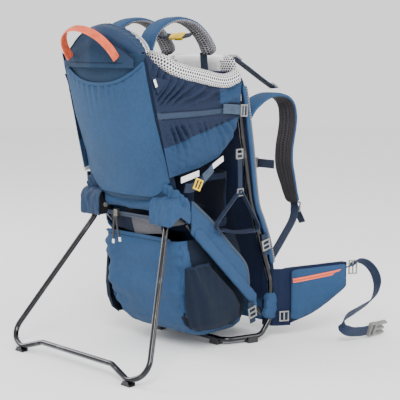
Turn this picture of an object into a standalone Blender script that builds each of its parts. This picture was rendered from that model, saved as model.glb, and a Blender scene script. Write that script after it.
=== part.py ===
"""Framed child-carrier backpack with a folding kickstand, as separate named pieces.

Metres, +Z up. +Y points from the kickstand towards the wearer, +X is the wearer's right and X = 0 is the
plane of symmetry. The origin is on the floor, in the middle of the footprint.
"""

from math import cos, pi, radians, sin

import bmesh
import bpy
from mathutils import Matrix, Vector

# Clearances
GAP = 0.0005  # between two pieces that touch
EASE = 0.0012  # between soft pieces

# Frame
TUBE_R = 0.006
STRUT_R = 0.005
FRAME_HALF_WIDTH = 0.141  # uprights, tube centre
BASE_HALF_WIDTH = 0.147
REAR_BAR_HALF = 0.118
FOOT_HEIGHT = 0.006
FRAME_TOP = 0.578
BASE_FOOT = (0.024, 0.018)  # length along the tube, width

# Kickstand
KICK_LEAN = radians(30.5)
KICK_FOOT_HEIGHT = 0.005
KICK_TOP_HALF = 0.113
KICK_NECK = 0.030  # straight length below the pivot
KICK_FOOT_DROP = 0.002  # the legs' ends below the drawn reach
KICK_KNEE_HALF = 0.220
KICK_FOOT_HALF = 0.172
KICK_HUMP_HALF = 0.112
KICK_HUMP_RISE = 0.020
KICK_BEND_R = 0.042
KICK_FOOT_SIZE = (0.026, 0.015)
HINGE_Y = -0.160
HINGE_Z = 0.310
PIN_R = 0.003
PIN_HEAD_R = 0.0055
BRACKET_WALL = 0.011
BRACKET_SLOT = 0.015
BRACKET_BACK = 0.024
BRACKET_DROP = 0.022
BRACKET_RISE = 0.027
BRACKET_BRIDGE = 0.009
CROSSBAR_RISE = 0.016

# Back system: the wearer's side of the back panel, (z, y)
BACK_PROFILE = [
    (0.030, 0.139), (0.060, 0.137), (0.138, 0.133), (0.185, 0.123), (0.229, 0.109), (0.275, 0.089),
    (0.319, 0.070), (0.431, 0.053), (0.529, 0.036), (0.600, 0.020),
]
BACK_HALF_WIDTH = 0.148
BACK_THICK = 0.009
BACK_BOTTOM = 0.085
BACK_PAD_HALF = 0.105
BACK_PAD_THICK = 0.012
LUMBAR_HALF = 0.126
LUMBAR_THICK = 0.017
LUMBAR_Z = (0.030, 0.172)

# Rear panel of the cockpit: its side edges, (z, y)
REAR_PROFILE = [(0.346, -0.162), (0.429, -0.185), (0.507, -0.212), (0.593, -0.234), (0.640, -0.243), (0.710, -0.258)]
REAR_HALF_WIDTH = 0.124
REAR_SAG = 0.025
REAR_THICK = 0.008
REAR_TOP = 0.640
POCKET_THICK = 0.004
POCKET_HEM_LOW = 0.578
POCKET_HEM_RISE = 0.045
CAP_HALF_WIDTH = 0.118
CAP_RISE = 0.061
CAP_FRONT_Y = -0.204

# Wings, collar and pads
WING_THICK = 0.005
WING_TOP = [(-0.244, 0.640), (-0.193, 0.600), (-0.106, 0.578), (-0.039, 0.566), (0.008, 0.578)]
WING_BOTTOM = [(0.005, 0.506), (-0.015, 0.460), (-0.054, 0.424), (-0.105, 0.406), (-0.184, 0.391)]
WING_REAR_X = 0.1265
WING_SLOPE = 0.085  # how much wider per metre forward
COLLAR_SIZE = (0.013, 0.028)
CHIN_PAD = (0.105, 0.014, 0.023)  # half width, half depth, half height
CHIN_PAD_AT = (0.046, 0.613)

# Child's harness and seat
HARNESS_X = 0.060
HARNESS_SIZE = (0.044, 0.012)
HARNESS_PATH = [
    (-0.165, 0.604), (-0.169, 0.641), (-0.157, 0.679), (-0.131, 0.701), (-0.098, 0.709), (-0.064, 0.703),
    (-0.038, 0.685), (-0.020, 0.660), (-0.010, 0.635),
]
SHELL_HALF_WIDTH = 0.116
SHELL_Z = (0.262, 0.385)
SHELL_REAR_Y = -0.118
SHELL_FRONT_Y = 0.040
SHELL_WALL = 0.005
LEG_HOLE = (-0.088, 0.024, 0.280, 0.420)  # y from, y to, z from, z to
SADDLE = (0.050, 0.070, 0.011)  # half width, half length, half thickness
SADDLE_AT = (-0.042, 0.300)
ADJUSTER_X = 0.1535
ADJUSTER_PATH = [(-0.160, 0.369), (-0.142, 0.368), (-0.118, 0.374), (-0.098, 0.388), (-0.082, 0.406)]

# Lower bag and side pieces
BAG_TOP = 0.250
BAG_WALL = 0.0035
BAG_RINGS = [  # z, half width, rear y, front y, corner radius
    (0.028, 0.092, -0.056, 0.070, 0.024), (0.040, 0.104, -0.088, 0.080, 0.026), (0.062, 0.111, -0.113, 0.086, 0.028),
    (0.092, 0.116, -0.131, 0.088, 0.030), (0.150, 0.119, -0.147, 0.080, 0.030), (0.205, 0.120, -0.150, 0.066, 0.028),
    (BAG_TOP, 0.118, -0.150, 0.046, 0.026),
]
STRUT_TOP = (0.124, -0.1290, 0.288)
STRUT_FOOT = (0.140, 0.096, 0.060)
SIDE_PANEL_TOP = [(-0.122, 0.335), (-0.067, 0.288), (-0.014, 0.232), (0.035, 0.180), (0.046, 0.128)]
SIDE_PANEL_THICK = 0.005
BAND_HALF = 0.014
POCKET_RINGS = [  # z, reach outwards, rear y, front y
    (0.050, 0.012, -0.098, 0.018), (0.064, 0.022, -0.114, 0.030), (0.092, 0.028, -0.124, 0.030),
    (0.125, 0.028, -0.127, 0.006), (0.160, 0.020, -0.128, -0.030), (0.196, 0.012, -0.128, -0.064),
]
POCKET_WALL = 0.0025
COVER_OUT = 0.0065
COVER_REACH = 0.026
STIRRUP_X = (0.1475, 0.1590)
STIRRUP_PIVOT_Z = 0.432
STIRRUP_OUTER = [(-0.003, 0.345), (-0.056, 0.294), (-0.067, 0.281), (-0.059, 0.270), (-0.001, 0.257), (0.058, 0.254),
                 (0.064, 0.264), (0.057, 0.278), (0.011, 0.345)]
STIRRUP_RIM = 0.005
STIRRUP_STRAP_HALF = 0.007

# Wearer's harness
STRAP_SIZE = (0.052, 0.011)
STRAP_PATH = [
    (0.100, 0.066, 0.492), (0.100, 0.094, 0.520), (0.100, 0.137, 0.541), (0.100, 0.182, 0.544), (0.100, 0.217, 0.528),
    (0.100, 0.229, 0.496), (0.100, 0.226, 0.461), (0.100, 0.217, 0.420), (0.100, 0.218, 0.381), (0.102, 0.232, 0.333),
    (0.104, 0.247, 0.290),
]
LIFTER_PATH = [(0.078, 0.064, 0.629), (0.082, 0.098, 0.610), (0.090, 0.146, 0.580), (0.095, 0.181, 0.5595)]
LIFTER_SIZE = (0.020, 0.0025)
LOWER_WEB_PATH = [(0.106, 0.250, 0.277), (0.111, 0.236, 0.252), (0.120, 0.192, 0.218), (0.130, 0.150, 0.190),
                  (0.133, 0.1335, 0.178)]
LOWER_WEB_SIZE = (0.020, 0.0025)
CHEST_AT = (0.212, 0.381)
CHEST_WEB = (0.020, 0.0025)
CHEST_BUCKLE = (0.044, 0.026, 0.009)

# Hip belt
FIN_ROOT = (0.150, 0.130)
FIN_TIP = (0.237, 0.280)
FIN_THICK = 0.016
FIN_OUTLINE = [(0.012, 0.158), (0.160, 0.166), (0.173, 0.107), (0.130, 0.076), (0.090, 0.050), (0.040, 0.031), (0.012, 0.023)]
HIP_POCKET_OUTLINE = [(0.034, 0.155), (0.156, 0.162), (0.166, 0.110), (0.128, 0.082), (0.090, 0.057), (0.052, 0.041)]
HIP_POCKET_THICK = 0.013
HIP_ZIP = ((0.038, 0.132), (0.150, 0.1475))
SLIDER_SIZE = (0.012, 0.007, 0.004)
TAIL_PATH = [
    (0.2440, 0.2860, 0.155), (0.2500, 0.3000, 0.166), (0.265, 0.318, 0.160), (0.277, 0.3345, 0.136), (0.281, 0.339, 0.105),
    (0.285, 0.315, 0.078), (0.291, 0.250, 0.066), (0.296, 0.200, 0.059), (0.300, 0.184, 0.043), (0.304, 0.203, 0.028),
    (0.308, 0.240, 0.021), (0.310, 0.262, 0.020),
]
TAIL_SIZE = (0.025, 0.0025)
TAIL_END = Vector((0.3115, 0.2640, 0.020))
BUCKLE_LENGTH = 0.062
BUCKLE_SIZE = (0.034, 0.012)

# Haul loop, zip
LOOP_HALF = 0.071
LOOP_BASE = (-0.2685, 0.630)
LOOP_PEAK = (-0.313, 0.690)
LOOP_SIZE = (0.018, 0.0022)
BAG_ZIP_AT = (-0.045, -0.170, 0.297)
BAG_SLIDER = (0.006, 0.005, 0.010)

SIDES = {"right": 1, "left": -1}


def clear_scene():
    """Remove every object of the start-up scene."""
    for thing in list(bpy.data.objects):
        bpy.data.objects.remove(thing, do_unlink=True)


def finish_of(name, colour, roughness, metallic=0.0):
    """A Principled material with one colour."""
    finish = bpy.data.materials.new(name)
    finish.use_nodes = True
    shader = finish.node_tree.nodes["Principled BSDF"]
    shader.inputs["Base Color"].default_value = (*colour, 1.0)
    shader.inputs["Roughness"].default_value = roughness
    shader.inputs["Metallic"].default_value = metallic
    finish.diffuse_color = (*colour, 1.0)
    return finish


clear_scene()
ANODISED = finish_of("anodised_tube", (0.16, 0.16, 0.17), 0.22, 1.0)
STEEL = finish_of("steel", (0.55, 0.55, 0.56), 0.3, 1.0)
BLACK = finish_of("black_plastic", (0.02, 0.02, 0.022), 0.45)
BUCKLE_GREY = finish_of("buckle_grey", (0.42, 0.42, 0.40), 0.4)
YELLOW = finish_of("yellow_plastic", (0.80, 0.62, 0.02), 0.4)
BLUE = finish_of("blue_fabric", (0.076, 0.155, 0.275), 0.8)
NAVY = finish_of("navy_fabric", (0.010, 0.026, 0.085), 0.85)
SIDE_MESH = finish_of("side_mesh", (0.012, 0.030, 0.070), 0.85)
LIGHT_MESH = finish_of("light_mesh", (0.66, 0.64, 0.64), 0.9)
GREY_MESH = finish_of("grey_mesh", (0.075, 0.070, 0.075), 0.9)
WEBBING = finish_of("navy_webbing", (0.018, 0.040, 0.100), 0.75)
ORANGE = finish_of("orange_webbing", (0.86, 0.26, 0.13), 0.7)


def between(table, at):
    """Read a table of (key, value) rows at a key, with straight lines between the rows."""
    if at <= table[0][0]:
        return table[0][1]
    for (low, first), (high, second) in zip(table, table[1:]):
        if at <= high:
            return first + (second - first) * (at - low) / (high - low)
    return table[-1][1]


def back_y(z):
    """Y of the back panel's face on the wearer's side."""
    return between(BACK_PROFILE, z)


def rear_y(x, z):
    """Y of the rear panel's outer face, which bows out between its side edges."""
    return between(REAR_PROFILE, z) - REAR_SAG * (1 - (x / REAR_HALF_WIDTH) ** 2)


def strut_at(y):
    """X and Z of the strut's centre line where it passes a given Y."""
    share = (y - STRUT_TOP[1]) / (STRUT_FOOT[1] - STRUT_TOP[1])
    return (STRUT_TOP[0] + share * (STRUT_FOOT[0] - STRUT_TOP[0]), STRUT_TOP[2] + share * (STRUT_FOOT[2] - STRUT_TOP[2]))


def place(name, bm, finish, pivot=(0, 0, 0), smooth=False):
    """Turn a bmesh into a named object whose origin is at the pivot."""
    bmesh.ops.remove_doubles(bm, verts=bm.verts, dist=1e-6)
    bmesh.ops.recalc_face_normals(bm, faces=bm.faces)
    bmesh.ops.translate(bm, verts=bm.verts, vec=-Vector(pivot))
    mesh = bpy.data.meshes.new(name)
    bm.to_mesh(mesh)
    bm.free()
    mesh.materials.append(finish)
    if smooth:
        mesh.shade_smooth()
        mesh.set_sharp_from_angle(angle=radians(40))
    piece = bpy.data.objects.new(name, mesh)
    piece.location = pivot
    bpy.context.scene.collection.objects.link(piece)
    return piece


def bevelled(piece, width, segments=2):
    """Round a piece's edges with a live Bevel."""
    bevel = piece.modifiers.new("rounded_edges", "BEVEL")
    bevel.width = width
    bevel.segments = segments
    bevel.limit_method = "ANGLE"
    bevel.angle_limit = radians(35)
    return piece


def rounded_corners(points, radius, steps=5):
    """A line through points with each inner corner turned into an arc."""
    line = [Vector(points[0])]
    for before, corner, after in zip(points, points[1:], points[2:]):
        corner = Vector(corner)
        inward = (Vector(before) - corner).normalized()
        outward = (Vector(after) - corner).normalized()
        half = inward.angle(outward) / 2
        if half > radians(88):
            line.append(corner)
            continue
        reach = radius / max(0.05, abs(sin(half) / cos(half)))
        middle = (inward + outward).normalized()
        centre = corner + middle * (radius / sin(half))
        start = corner + inward * reach - centre
        end = corner + outward * reach - centre
        turn = start.angle(end)
        for step in range(steps + 1):
            share = step / steps
            line.append(centre + (start * sin((1 - share) * turn) + end * sin(share * turn)) / sin(turn))
    line.append(Vector(points[-1]))
    return line


def curve_through(points, steps=3):
    """A smooth line through all the points."""
    points = [Vector(point) for point in points]
    padded = [2 * points[0] - points[1], *points, 2 * points[-1] - points[-2]]
    line = []
    for a, b, c, d in zip(padded, padded[1:], padded[2:], padded[3:]):
        for step in range(steps):
            t = step / steps
            line.append(0.5 * (2 * b + (c - a) * t + (2 * a - 5 * b + 4 * c - d) * t * t + (3 * b - a - 3 * c + d) * t**3))
    line.append(points[-1])
    return line


def tube(name, line, radius, finish, closed=False, pivot=(0, 0, 0), sides=12):
    """A round tube along a line, each ring turned from the one before by the bend alone."""
    count = len(line)
    side = Vector((0, 0, 1)).cross(line[1] - line[0])
    if side.length < 1e-6:
        side = Vector((1, 0, 0))
    rings = []
    for i, point in enumerate(line):
        ahead = line[(i + 1) % count] if closed else line[min(i + 1, count - 1)]
        behind = line[i - 1] if closed else line[max(i - 1, 0)]
        along = (ahead - behind).normalized()
        side = (side - along * side.dot(along)).normalized()
        up = along.cross(side)
        turns = [2 * pi * k / sides for k in range(sides)]
        rings.append([point + (side * cos(turn) + up * sin(turn)) * radius for turn in turns])
    bm = bmesh.new()
    rings_to_solid(bm, rings, closed)
    return place(name, bm, finish, pivot, smooth=True)


def rings_to_solid(bm, rings, closed=False):
    """Join rings of vertices one after another, then cap both ends or join the last ring to the first."""
    made = [[bm.verts.new(point) for point in ring] for ring in rings]
    for lower, upper in zip(made, made[1:] + made[:1] if closed else made[1:]):
        for i, vert in enumerate(lower):
            j = (i + 1) % len(lower)
            bm.faces.new((vert, lower[j], upper[j], upper[i]))
    if not closed:
        bm.faces.new(made[0])
        bm.faces.new(made[-1])


def band(name, line, width, thickness, across, finish, pivot=(0, 0, 0)):
    """A flat strap along a line; across is the direction of its width, or a function of the share along it."""
    bm = bmesh.new()
    rings = []
    for i, point in enumerate(line):
        ahead = line[min(i + 1, len(line) - 1)] - line[max(i - 1, 0)]
        wide = Vector(across(i / (len(line) - 1)) if callable(across) else across)
        wide = (wide - ahead * wide.dot(ahead) / ahead.length_squared).normalized() * width / 2
        thick = ahead.cross(wide).normalized() * thickness / 2
        rings.append([point - wide - thick, point + wide - thick, point + wide + thick, point - wide + thick])
    rings_to_solid(bm, rings)
    return place(name, bm, finish, pivot)


def prism(name, outline, low, high, finish, side=1, slope=0.0, slope_from=0.0, pivot=(0, 0, 0)):
    """An outline in Y and Z given a thickness along X, widening forwards by slope."""
    bm = bmesh.new()
    rings = []
    for x in (low, high):
        rings.append([Vector((side * (x + slope * (y - slope_from)), y, z)) for y, z in outline])
    rings_to_solid(bm, rings)
    return place(name, bm, finish, pivot)


def box(bm, centre, half):
    """Add a box to a bmesh."""
    matrix = Matrix.Translation(Vector(centre)) @ Matrix.Diagonal((*(2 * h for h in half), 1.0))
    return bmesh.ops.create_cube(bm, size=1.0, matrix=matrix)["verts"]


def hidden_cutter(name, bm):
    """A cutter object that is neither rendered nor built."""
    bmesh.ops.recalc_face_normals(bm, faces=bm.faces)
    mesh = bpy.data.meshes.new(name)
    bm.to_mesh(mesh)
    bm.free()
    cutter = bpy.data.objects.new(name, mesh)
    cutter.display_type = "WIRE"
    cutter.hide_render = True
    bpy.context.scene.collection.objects.link(cutter)
    return cutter


def cut(piece, cutter, operation="DIFFERENCE"):
    """Cut a piece with a live exact Boolean."""
    step = piece.modifiers.new(cutter.name, "BOOLEAN")
    step.operation = operation
    step.solver = "EXACT"
    step.use_self = True
    step.object = cutter
    return piece


def round_cutter(name, centre, radius, half_length, axis="X", sides=20):
    """A cylinder along X or Y for cutting a hole."""
    bm = bmesh.new()
    turn = Matrix.Rotation(pi / 2, 4, "Y" if axis == "X" else "X")
    matrix = Matrix.Translation(Vector(centre)) @ turn
    bmesh.ops.create_cone(
        bm, cap_ends=True, segments=sides, radius1=radius, radius2=radius, depth=2 * half_length, matrix=matrix
    )
    return hidden_cutter(name, bm)


# ---------------------------------------------------------------- frame


def frame_height_y(z):
    """Y of the upright's centre, just behind the back panel."""
    return back_y(z) - BACK_THICK - TUBE_R - EASE


def back_frame_line():
    """The closed centre line of the frame tube: base bar, rising corners, uprights and top bar."""
    low = FOOT_HEIGHT + TUBE_R
    right = [
        (REAR_BAR_HALF, 0.0, low),
        (BASE_HALF_WIDTH, 0.085, low),
        (BASE_HALF_WIDTH + 0.002, frame_height_y(0.07) - 0.002, 0.050),
        (BASE_HALF_WIDTH, frame_height_y(0.138) - 0.001, 0.135),
        (FRAME_HALF_WIDTH, frame_height_y(0.319), 0.319),
        (FRAME_HALF_WIDTH - 0.003, frame_height_y(FRAME_TOP), FRAME_TOP),
    ]
    left = [(-x, y, z) for x, y, z in reversed(right)]
    start = Vector((0, 0, low))
    return rounded_corners([start, *right, *left, start], 0.026)[:-1]


def build_frame():
    """The tube frame, its crossbar, struts and floor feet."""
    tube("back_frame", back_frame_line(), TUBE_R, ANODISED, closed=True)
    bar_z = HINGE_Z + CROSSBAR_RISE
    half = KICK_TOP_HALF - BRACKET_SLOT / 2 - BRACKET_WALL - GAP
    tube("rear_crossbar", [Vector((-half, HINGE_Y, bar_z)), Vector((half, HINGE_Y, bar_z))], TUBE_R, ANODISED)
    for name, side in SIDES.items():
        ends = [Vector((side * x, y, z)) for x, y, z in (STRUT_TOP, STRUT_FOOT)]
        tube(f"strut_{name}", ends, STRUT_R, ANODISED)
        base_foot(f"base_foot_rear_{name}", side * 0.090, 0.0, 0.0)
        along = Vector((BASE_HALF_WIDTH - REAR_BAR_HALF, 0.085, 0)).normalized()
        at = Vector((REAR_BAR_HALF, 0, 0)) + along * 0.066
        base_foot(f"base_foot_front_{name}", side * at.x, at.y, side * (pi / 2 - along.angle(Vector((0, 1, 0)))))


def base_foot(name, x, y, turn):
    """A moulded foot clipped under the base tube, with a groove for the tube."""
    low = FOOT_HEIGHT + TUBE_R
    bm = bmesh.new()
    box(bm, (0, 0, (low + 0.001) / 2), (BASE_FOOT[0] / 2, BASE_FOOT[1] / 2, (low + 0.001) / 2))
    groove = bmesh.new()
    matrix = Matrix.Translation((x, y, low)) @ Matrix.Rotation(turn, 4, "Z") @ Matrix.Rotation(pi / 2, 4, "Y")
    bmesh.ops.create_cone(
        groove, cap_ends=True, segments=20, radius1=TUBE_R + GAP, radius2=TUBE_R + GAP, depth=0.06, matrix=matrix
    )
    bmesh.ops.transform(bm, matrix=Matrix.Translation((x, y, 0)) @ Matrix.Rotation(turn, 4, "Z"), verts=bm.verts)
    return cut(place(name, bm, BLACK), hidden_cutter(f"{name}_groove", groove))


# ---------------------------------------------------------------- kickstand


def kick_point(x, along):
    """A point of the kickstand, from its distance below the pivot in the plane of the legs."""
    return Vector((x, HINGE_Y - along * sin(KICK_LEAN), HINGE_Z - along * cos(KICK_LEAN)))


def build_kickstand():
    """The one-piece kickstand tube, its feet, the brackets that carry it and the pivot pins."""
    pivot = (0, HINGE_Y, HINGE_Z)
    reach = (HINGE_Z - KICK_FOOT_HEIGHT - TUBE_R) / cos(KICK_LEAN)
    hump = reach - KICK_HUMP_RISE
    foot = reach + KICK_FOOT_DROP
    right = [
        kick_point(KICK_TOP_HALF, -0.008), kick_point(KICK_TOP_HALF, KICK_NECK), kick_point(KICK_KNEE_HALF, reach - 0.019),
        kick_point(KICK_FOOT_HALF, foot), kick_point(KICK_HUMP_HALF, hump),
    ]
    mirrored = [Vector((-point.x, point.y, point.z)) for point in reversed(right_half(right))]
    whole = right_half(right) + mirrored
    stand = tube("kickstand_tube", whole, TUBE_R, ANODISED, pivot=pivot)
    for name, side in SIDES.items():
        cut(stand, round_cutter(f"pin_hole_{name}", (side * KICK_TOP_HALF, HINGE_Y, HINGE_Z), PIN_R + GAP, 0.012))
        kick_foot(f"kickstand_foot_{name}", side, foot)
        bracket(f"hinge_bracket_{name}", side)
        pin(f"pivot_pin_{name}", side)


def right_half(right):
    """The right half of the kickstand's centre line, from the pivot end to the middle of the hump."""
    line = rounded_corners(right[:3], KICK_BEND_R)[:-1]
    line += rounded_corners([line[-1], *right[2:4]], KICK_BEND_R, 8)[1:-1]
    line += rounded_corners([line[-1], *right[3:5]], 0.026)[1:-1]
    middle = Vector((0, right[4].y, right[4].z))
    line += rounded_corners([line[-1], right[4], middle], 0.026)[1:-1]
    return line


def kick_foot(name, side, foot):
    """A moulded foot under the lowest bend of the kickstand, in its body's frame."""
    centre = kick_point(side * KICK_FOOT_HALF, foot)
    top = KICK_FOOT_HEIGHT + TUBE_R * 0.8
    bm = bmesh.new()
    box(bm, (centre.x, centre.y, top / 2), (KICK_FOOT_SIZE[0] / 2, KICK_FOOT_SIZE[1] / 2, top / 2))
    groove = bmesh.new()
    for bend in (-1, 0, 1):
        matrix = Matrix.Translation(kick_point(side * KICK_FOOT_HALF, foot - 0.0022))
        matrix = matrix @ Matrix.Rotation(side * bend * radians(21.5), 4, Vector((0, cos(KICK_LEAN), -sin(KICK_LEAN))))
        matrix = matrix @ Matrix.Rotation(pi / 2, 4, "Y")
        bmesh.ops.create_cone(
            groove, cap_ends=True, segments=16, radius1=TUBE_R + 2 * GAP, radius2=TUBE_R + 2 * GAP, depth=0.05,
            matrix=matrix,
        )
    return cut(place(name, bm, BLACK, (0, HINGE_Y, HINGE_Z)), hidden_cutter(f"{name}_groove", groove))


def bracket(name, side):
    """A moulded fork bolted to the crossbar; the kickstand's leg turns in its slot."""
    half = BRACKET_SLOT / 2 + BRACKET_WALL
    bm = bmesh.new()
    box(
        bm,
        (side * KICK_TOP_HALF, HINGE_Y, HINGE_Z + (BRACKET_RISE - BRACKET_DROP) / 2),
        (half, BRACKET_BACK, (BRACKET_RISE + BRACKET_DROP) / 2),
    )
    slot = bmesh.new()
    top = HINGE_Z + BRACKET_RISE - BRACKET_BRIDGE
    box(slot, (side * KICK_TOP_HALF, HINGE_Y, top - 0.05), (BRACKET_SLOT / 2, 0.05, 0.05))
    piece = bevelled(place(name, bm, BLACK), 0.004)
    cut(piece, hidden_cutter(f"{name}_slot", slot))
    return cut(piece, round_cutter(f"{name}_hole", (side * KICK_TOP_HALF, HINGE_Y, HINGE_Z), PIN_R + GAP, 0.04))


def pin(name, side):
    """The pivot pin with a flat head on its inner end."""
    inner = KICK_TOP_HALF - BRACKET_SLOT / 2 - BRACKET_WALL
    outer = KICK_TOP_HALF + BRACKET_SLOT / 2 + BRACKET_WALL
    sections = [(inner - 0.003, PIN_HEAD_R), (inner - GAP, PIN_HEAD_R), (inner - GAP, PIN_R), (outer - 0.001, PIN_R)]
    rings = []
    for x, radius in sections:
        rings.append([
            Vector((side * x, HINGE_Y + radius * cos(2 * pi * k / 16), HINGE_Z + radius * sin(2 * pi * k / 16)))
            for k in range(16)
        ])
    bm = bmesh.new()
    rings_to_solid(bm, rings)
    return place(name, bm, STEEL, smooth=True)


# ---------------------------------------------------------------- back system


def back_slab(name, low, high, near, far, half, finish, bevel):
    """A slab that follows the back panel's profile between two offsets from it."""
    heights = [z for z, _ in BACK_PROFILE if low < z < high]
    heights = [low, *heights, high]
    outline = [(back_y(z) + near, z) for z in heights] + [(back_y(z) + far, z) for z in reversed(heights)]
    return bevelled(prism(name, outline, -half, half, finish), bevel)


def build_back():
    """The back panel, the mesh pad on it and the lumbar pad."""
    back_slab("back_panel", BACK_BOTTOM, BACK_PROFILE[-1][0], -BACK_THICK, 0.0, BACK_HALF_WIDTH, NAVY, 0.002)
    back_slab("back_pad", LUMBAR_Z[1] + 0.012, 0.560, GAP, BACK_PAD_THICK, BACK_PAD_HALF, GREY_MESH, 0.004)
    back_slab("lumbar_pad", *LUMBAR_Z, GAP, LUMBAR_THICK, LUMBAR_HALF, NAVY, 0.005)


# ---------------------------------------------------------------- cockpit


def panel(name, half, low, high, lift, thickness, finish, columns=8, rows=6):
    """A bowed panel lifted off the rear surface; low and high give its edges for a share of its half width."""
    bm = bmesh.new()
    bmesh.ops.create_grid(bm, x_segments=columns, y_segments=rows, size=1.0)
    for vert in bm.verts:
        x = vert.co.x * half
        share = (vert.co.y + 1) / 2
        z = low(abs(vert.co.x)) + (high(abs(vert.co.x)) - low(abs(vert.co.x))) * share
        vert.co = Vector((x, rear_y(x, z) - lift, z))
    shell = bmesh.ops.extrude_face_region(bm, geom=bm.faces[:])
    moved = [item for item in shell["geom"] if isinstance(item, bmesh.types.BMVert)]
    bmesh.ops.translate(bm, verts=moved, vec=(0, thickness, 0))
    return place(name, bm, finish)


def build_cockpit():
    """The bowed rear panel, its stretch pocket, the stuffed cap, the wings, the collar and the chin pad."""
    low = REAR_PROFILE[0][0]
    panel("rear_panel", REAR_HALF_WIDTH, lambda _: low, lambda _: REAR_TOP, 0.0, REAR_THICK, BLUE)
    panel(
        "rear_pocket", REAR_HALF_WIDTH - 0.002, lambda _: low + 0.002,
        lambda s: POCKET_HEM_LOW + POCKET_HEM_RISE * s**2.4, POCKET_THICK + EASE, POCKET_THICK, BLUE, columns=10,
    )
    cap()
    for name, side in SIDES.items():
        prism(
            f"wing_{name}", WING_TOP + WING_BOTTOM, WING_REAR_X, WING_REAR_X + WING_THICK, NAVY, side, WING_SLOPE,
            WING_TOP[0][0],
        )
    collar()
    bm = bmesh.new()
    box(bm, (0, *CHIN_PAD_AT), CHIN_PAD)
    bevelled(place("chin_pad", bm, LIGHT_MESH, smooth=True), 0.012, 3)


def cap():
    """The stuffed top of the rear panel: a low arch seen from behind, leaning back."""
    bm = bmesh.new()
    rings = []
    base = REAR_TOP + 2 * GAP
    for step in range(13):
        x = CAP_HALF_WIDTH * (step / 6 - 1) * 0.985
        top = base + CAP_RISE * (1 - abs(x / CAP_HALF_WIDTH) ** 1.8)
        middle = (base + top) / 2
        front = CAP_FRONT_Y - 0.026 * abs(x / CAP_HALF_WIDTH) ** 3
        depth = rear_y(x, base)
        crest = rear_y(x, top)
        rings.append([
            Vector((x, depth, base)), Vector((x, rear_y(x, middle), middle)), Vector((x, crest + 0.008, top - 0.002)),
            Vector((x, (crest + front) / 2, top)), Vector((x, front - 0.010, top - 0.005)),
            Vector((x, front - 0.002, middle)), Vector((x, front, base)),
        ])
    rings_to_solid(bm, rings)
    return place("top_cap", bm, NAVY, smooth=True)


def collar():
    """The padded mesh rim: a horseshoe over both wings and across the front of the cap."""
    lift = COLLAR_SIZE[1] / 2 + 3 * EASE
    wing_x = [WING_REAR_X + WING_THICK / 2 + WING_SLOPE * (y - WING_TOP[0][0]) for y, _ in WING_TOP]
    right = [(x, y, z + lift) for x, (y, z) in zip(wing_x, WING_TOP)][:1:-1]
    right[0] = (right[0][0], 0.000, right[0][2])
    right += [(0.128, -0.160, 0.607), (0.108, -0.186, 0.626), (0.060, -0.1925, 0.634)]
    left = [(-x, y, z) for x, y, z in reversed(right)]
    line = curve_through([*right, *left], 2)
    return bevelled(band("rim_collar", line, COLLAR_SIZE[1], COLLAR_SIZE[0], (0, 0, 1), LIGHT_MESH), 0.004)


def build_harness():
    """The child's harness pads and chest buckle, the seat shell, the saddle and the height adjusters."""
    for name, side in SIDES.items():
        line = curve_through([(side * HARNESS_X, y, z) for y, z in HARNESS_PATH], 2)
        bevelled(band(f"harness_pad_{name}", line, *HARNESS_SIZE, (1, 0, 0), BLUE), 0.004)
        seat_adjuster(f"seat_adjuster_{name}", side)
    half = HARNESS_X - HARNESS_SIZE[0] / 2 - EASE
    strap_buckle("harness_buckle", (0, -0.030, 0.6745), half, (0.020, 0.0025), (0.036, 0.024, 0.009), 40, YELLOW)
    seat_shell()
    bm = bmesh.new()
    box(bm, (0, *SADDLE_AT), SADDLE)
    bevelled(place("seat_saddle", bm, NAVY, (0, *SADDLE_AT), smooth=True), 0.008, 3)


def strap_buckle(name, centre, half, web, buckle, lean, finish, pivot=None):
    """A short strap along X with a closed buckle in its middle, leaning about X by an angle in degrees."""
    length, height, depth = buckle
    sections = [(-half, *web), (-length / 2, *web), (-length / 2, height, depth), (length / 2, height, depth)]
    sections += [(length / 2, *web), (half, *web)]
    bm = bmesh.new()
    rings = []
    for x, high, thick in sections:
        ring = [(-thick / 2, -high / 2), (thick / 2, -high / 2), (thick / 2, high / 2), (-thick / 2, high / 2)]
        rings.append([Vector((x, y, z)) for y, z in ring])
    rings_to_solid(bm, rings)
    bmesh.ops.transform(
        bm, matrix=Matrix.Translation(centre) @ Matrix.Rotation(radians(lean), 4, "X"), verts=bm.verts
    )
    return place(name, bm, finish, pivot or centre)


def seat_shell():
    """The pouch that the child sits in, open at the top and with an opening for each leg."""
    low, high = SHELL_Z
    middle = ((SHELL_REAR_Y + SHELL_FRONT_Y) / 2, (low + high) / 2)
    bm = bmesh.new()
    box(bm, (0, *middle), (SHELL_HALF_WIDTH, (SHELL_FRONT_Y - SHELL_REAR_Y) / 2, (high - low) / 2))
    piece = place("seat_shell", bm, NAVY)
    hollow = bmesh.new()
    half = ((SHELL_FRONT_Y - SHELL_REAR_Y) / 2 - SHELL_WALL, (high - low) / 2)
    box(hollow, (0, middle[0], middle[1] + SHELL_WALL), (SHELL_HALF_WIDTH - SHELL_WALL, *half))
    cut(piece, hidden_cutter("seat_hollow", hollow))
    legs = bmesh.new()
    y0, y1, z0, z1 = LEG_HOLE
    box(legs, (0, (y0 + y1) / 2, (z0 + z1) / 2), (0.2, (y1 - y0) / 2, (z1 - z0) / 2))
    return cut(piece, hidden_cutter("leg_holes", legs))


def seat_adjuster(name, side):
    """The ladder lock and strap end that set the seat's height."""
    line = curve_through([(side * ADJUSTER_X, y, z) for y, z in ADJUSTER_PATH], 2)
    return band(name, line, 0.020, 0.004, lambda _: (side * 0.15, 0.35, 0.9), YELLOW)


# ---------------------------------------------------------------- lower bag and side pieces


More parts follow.
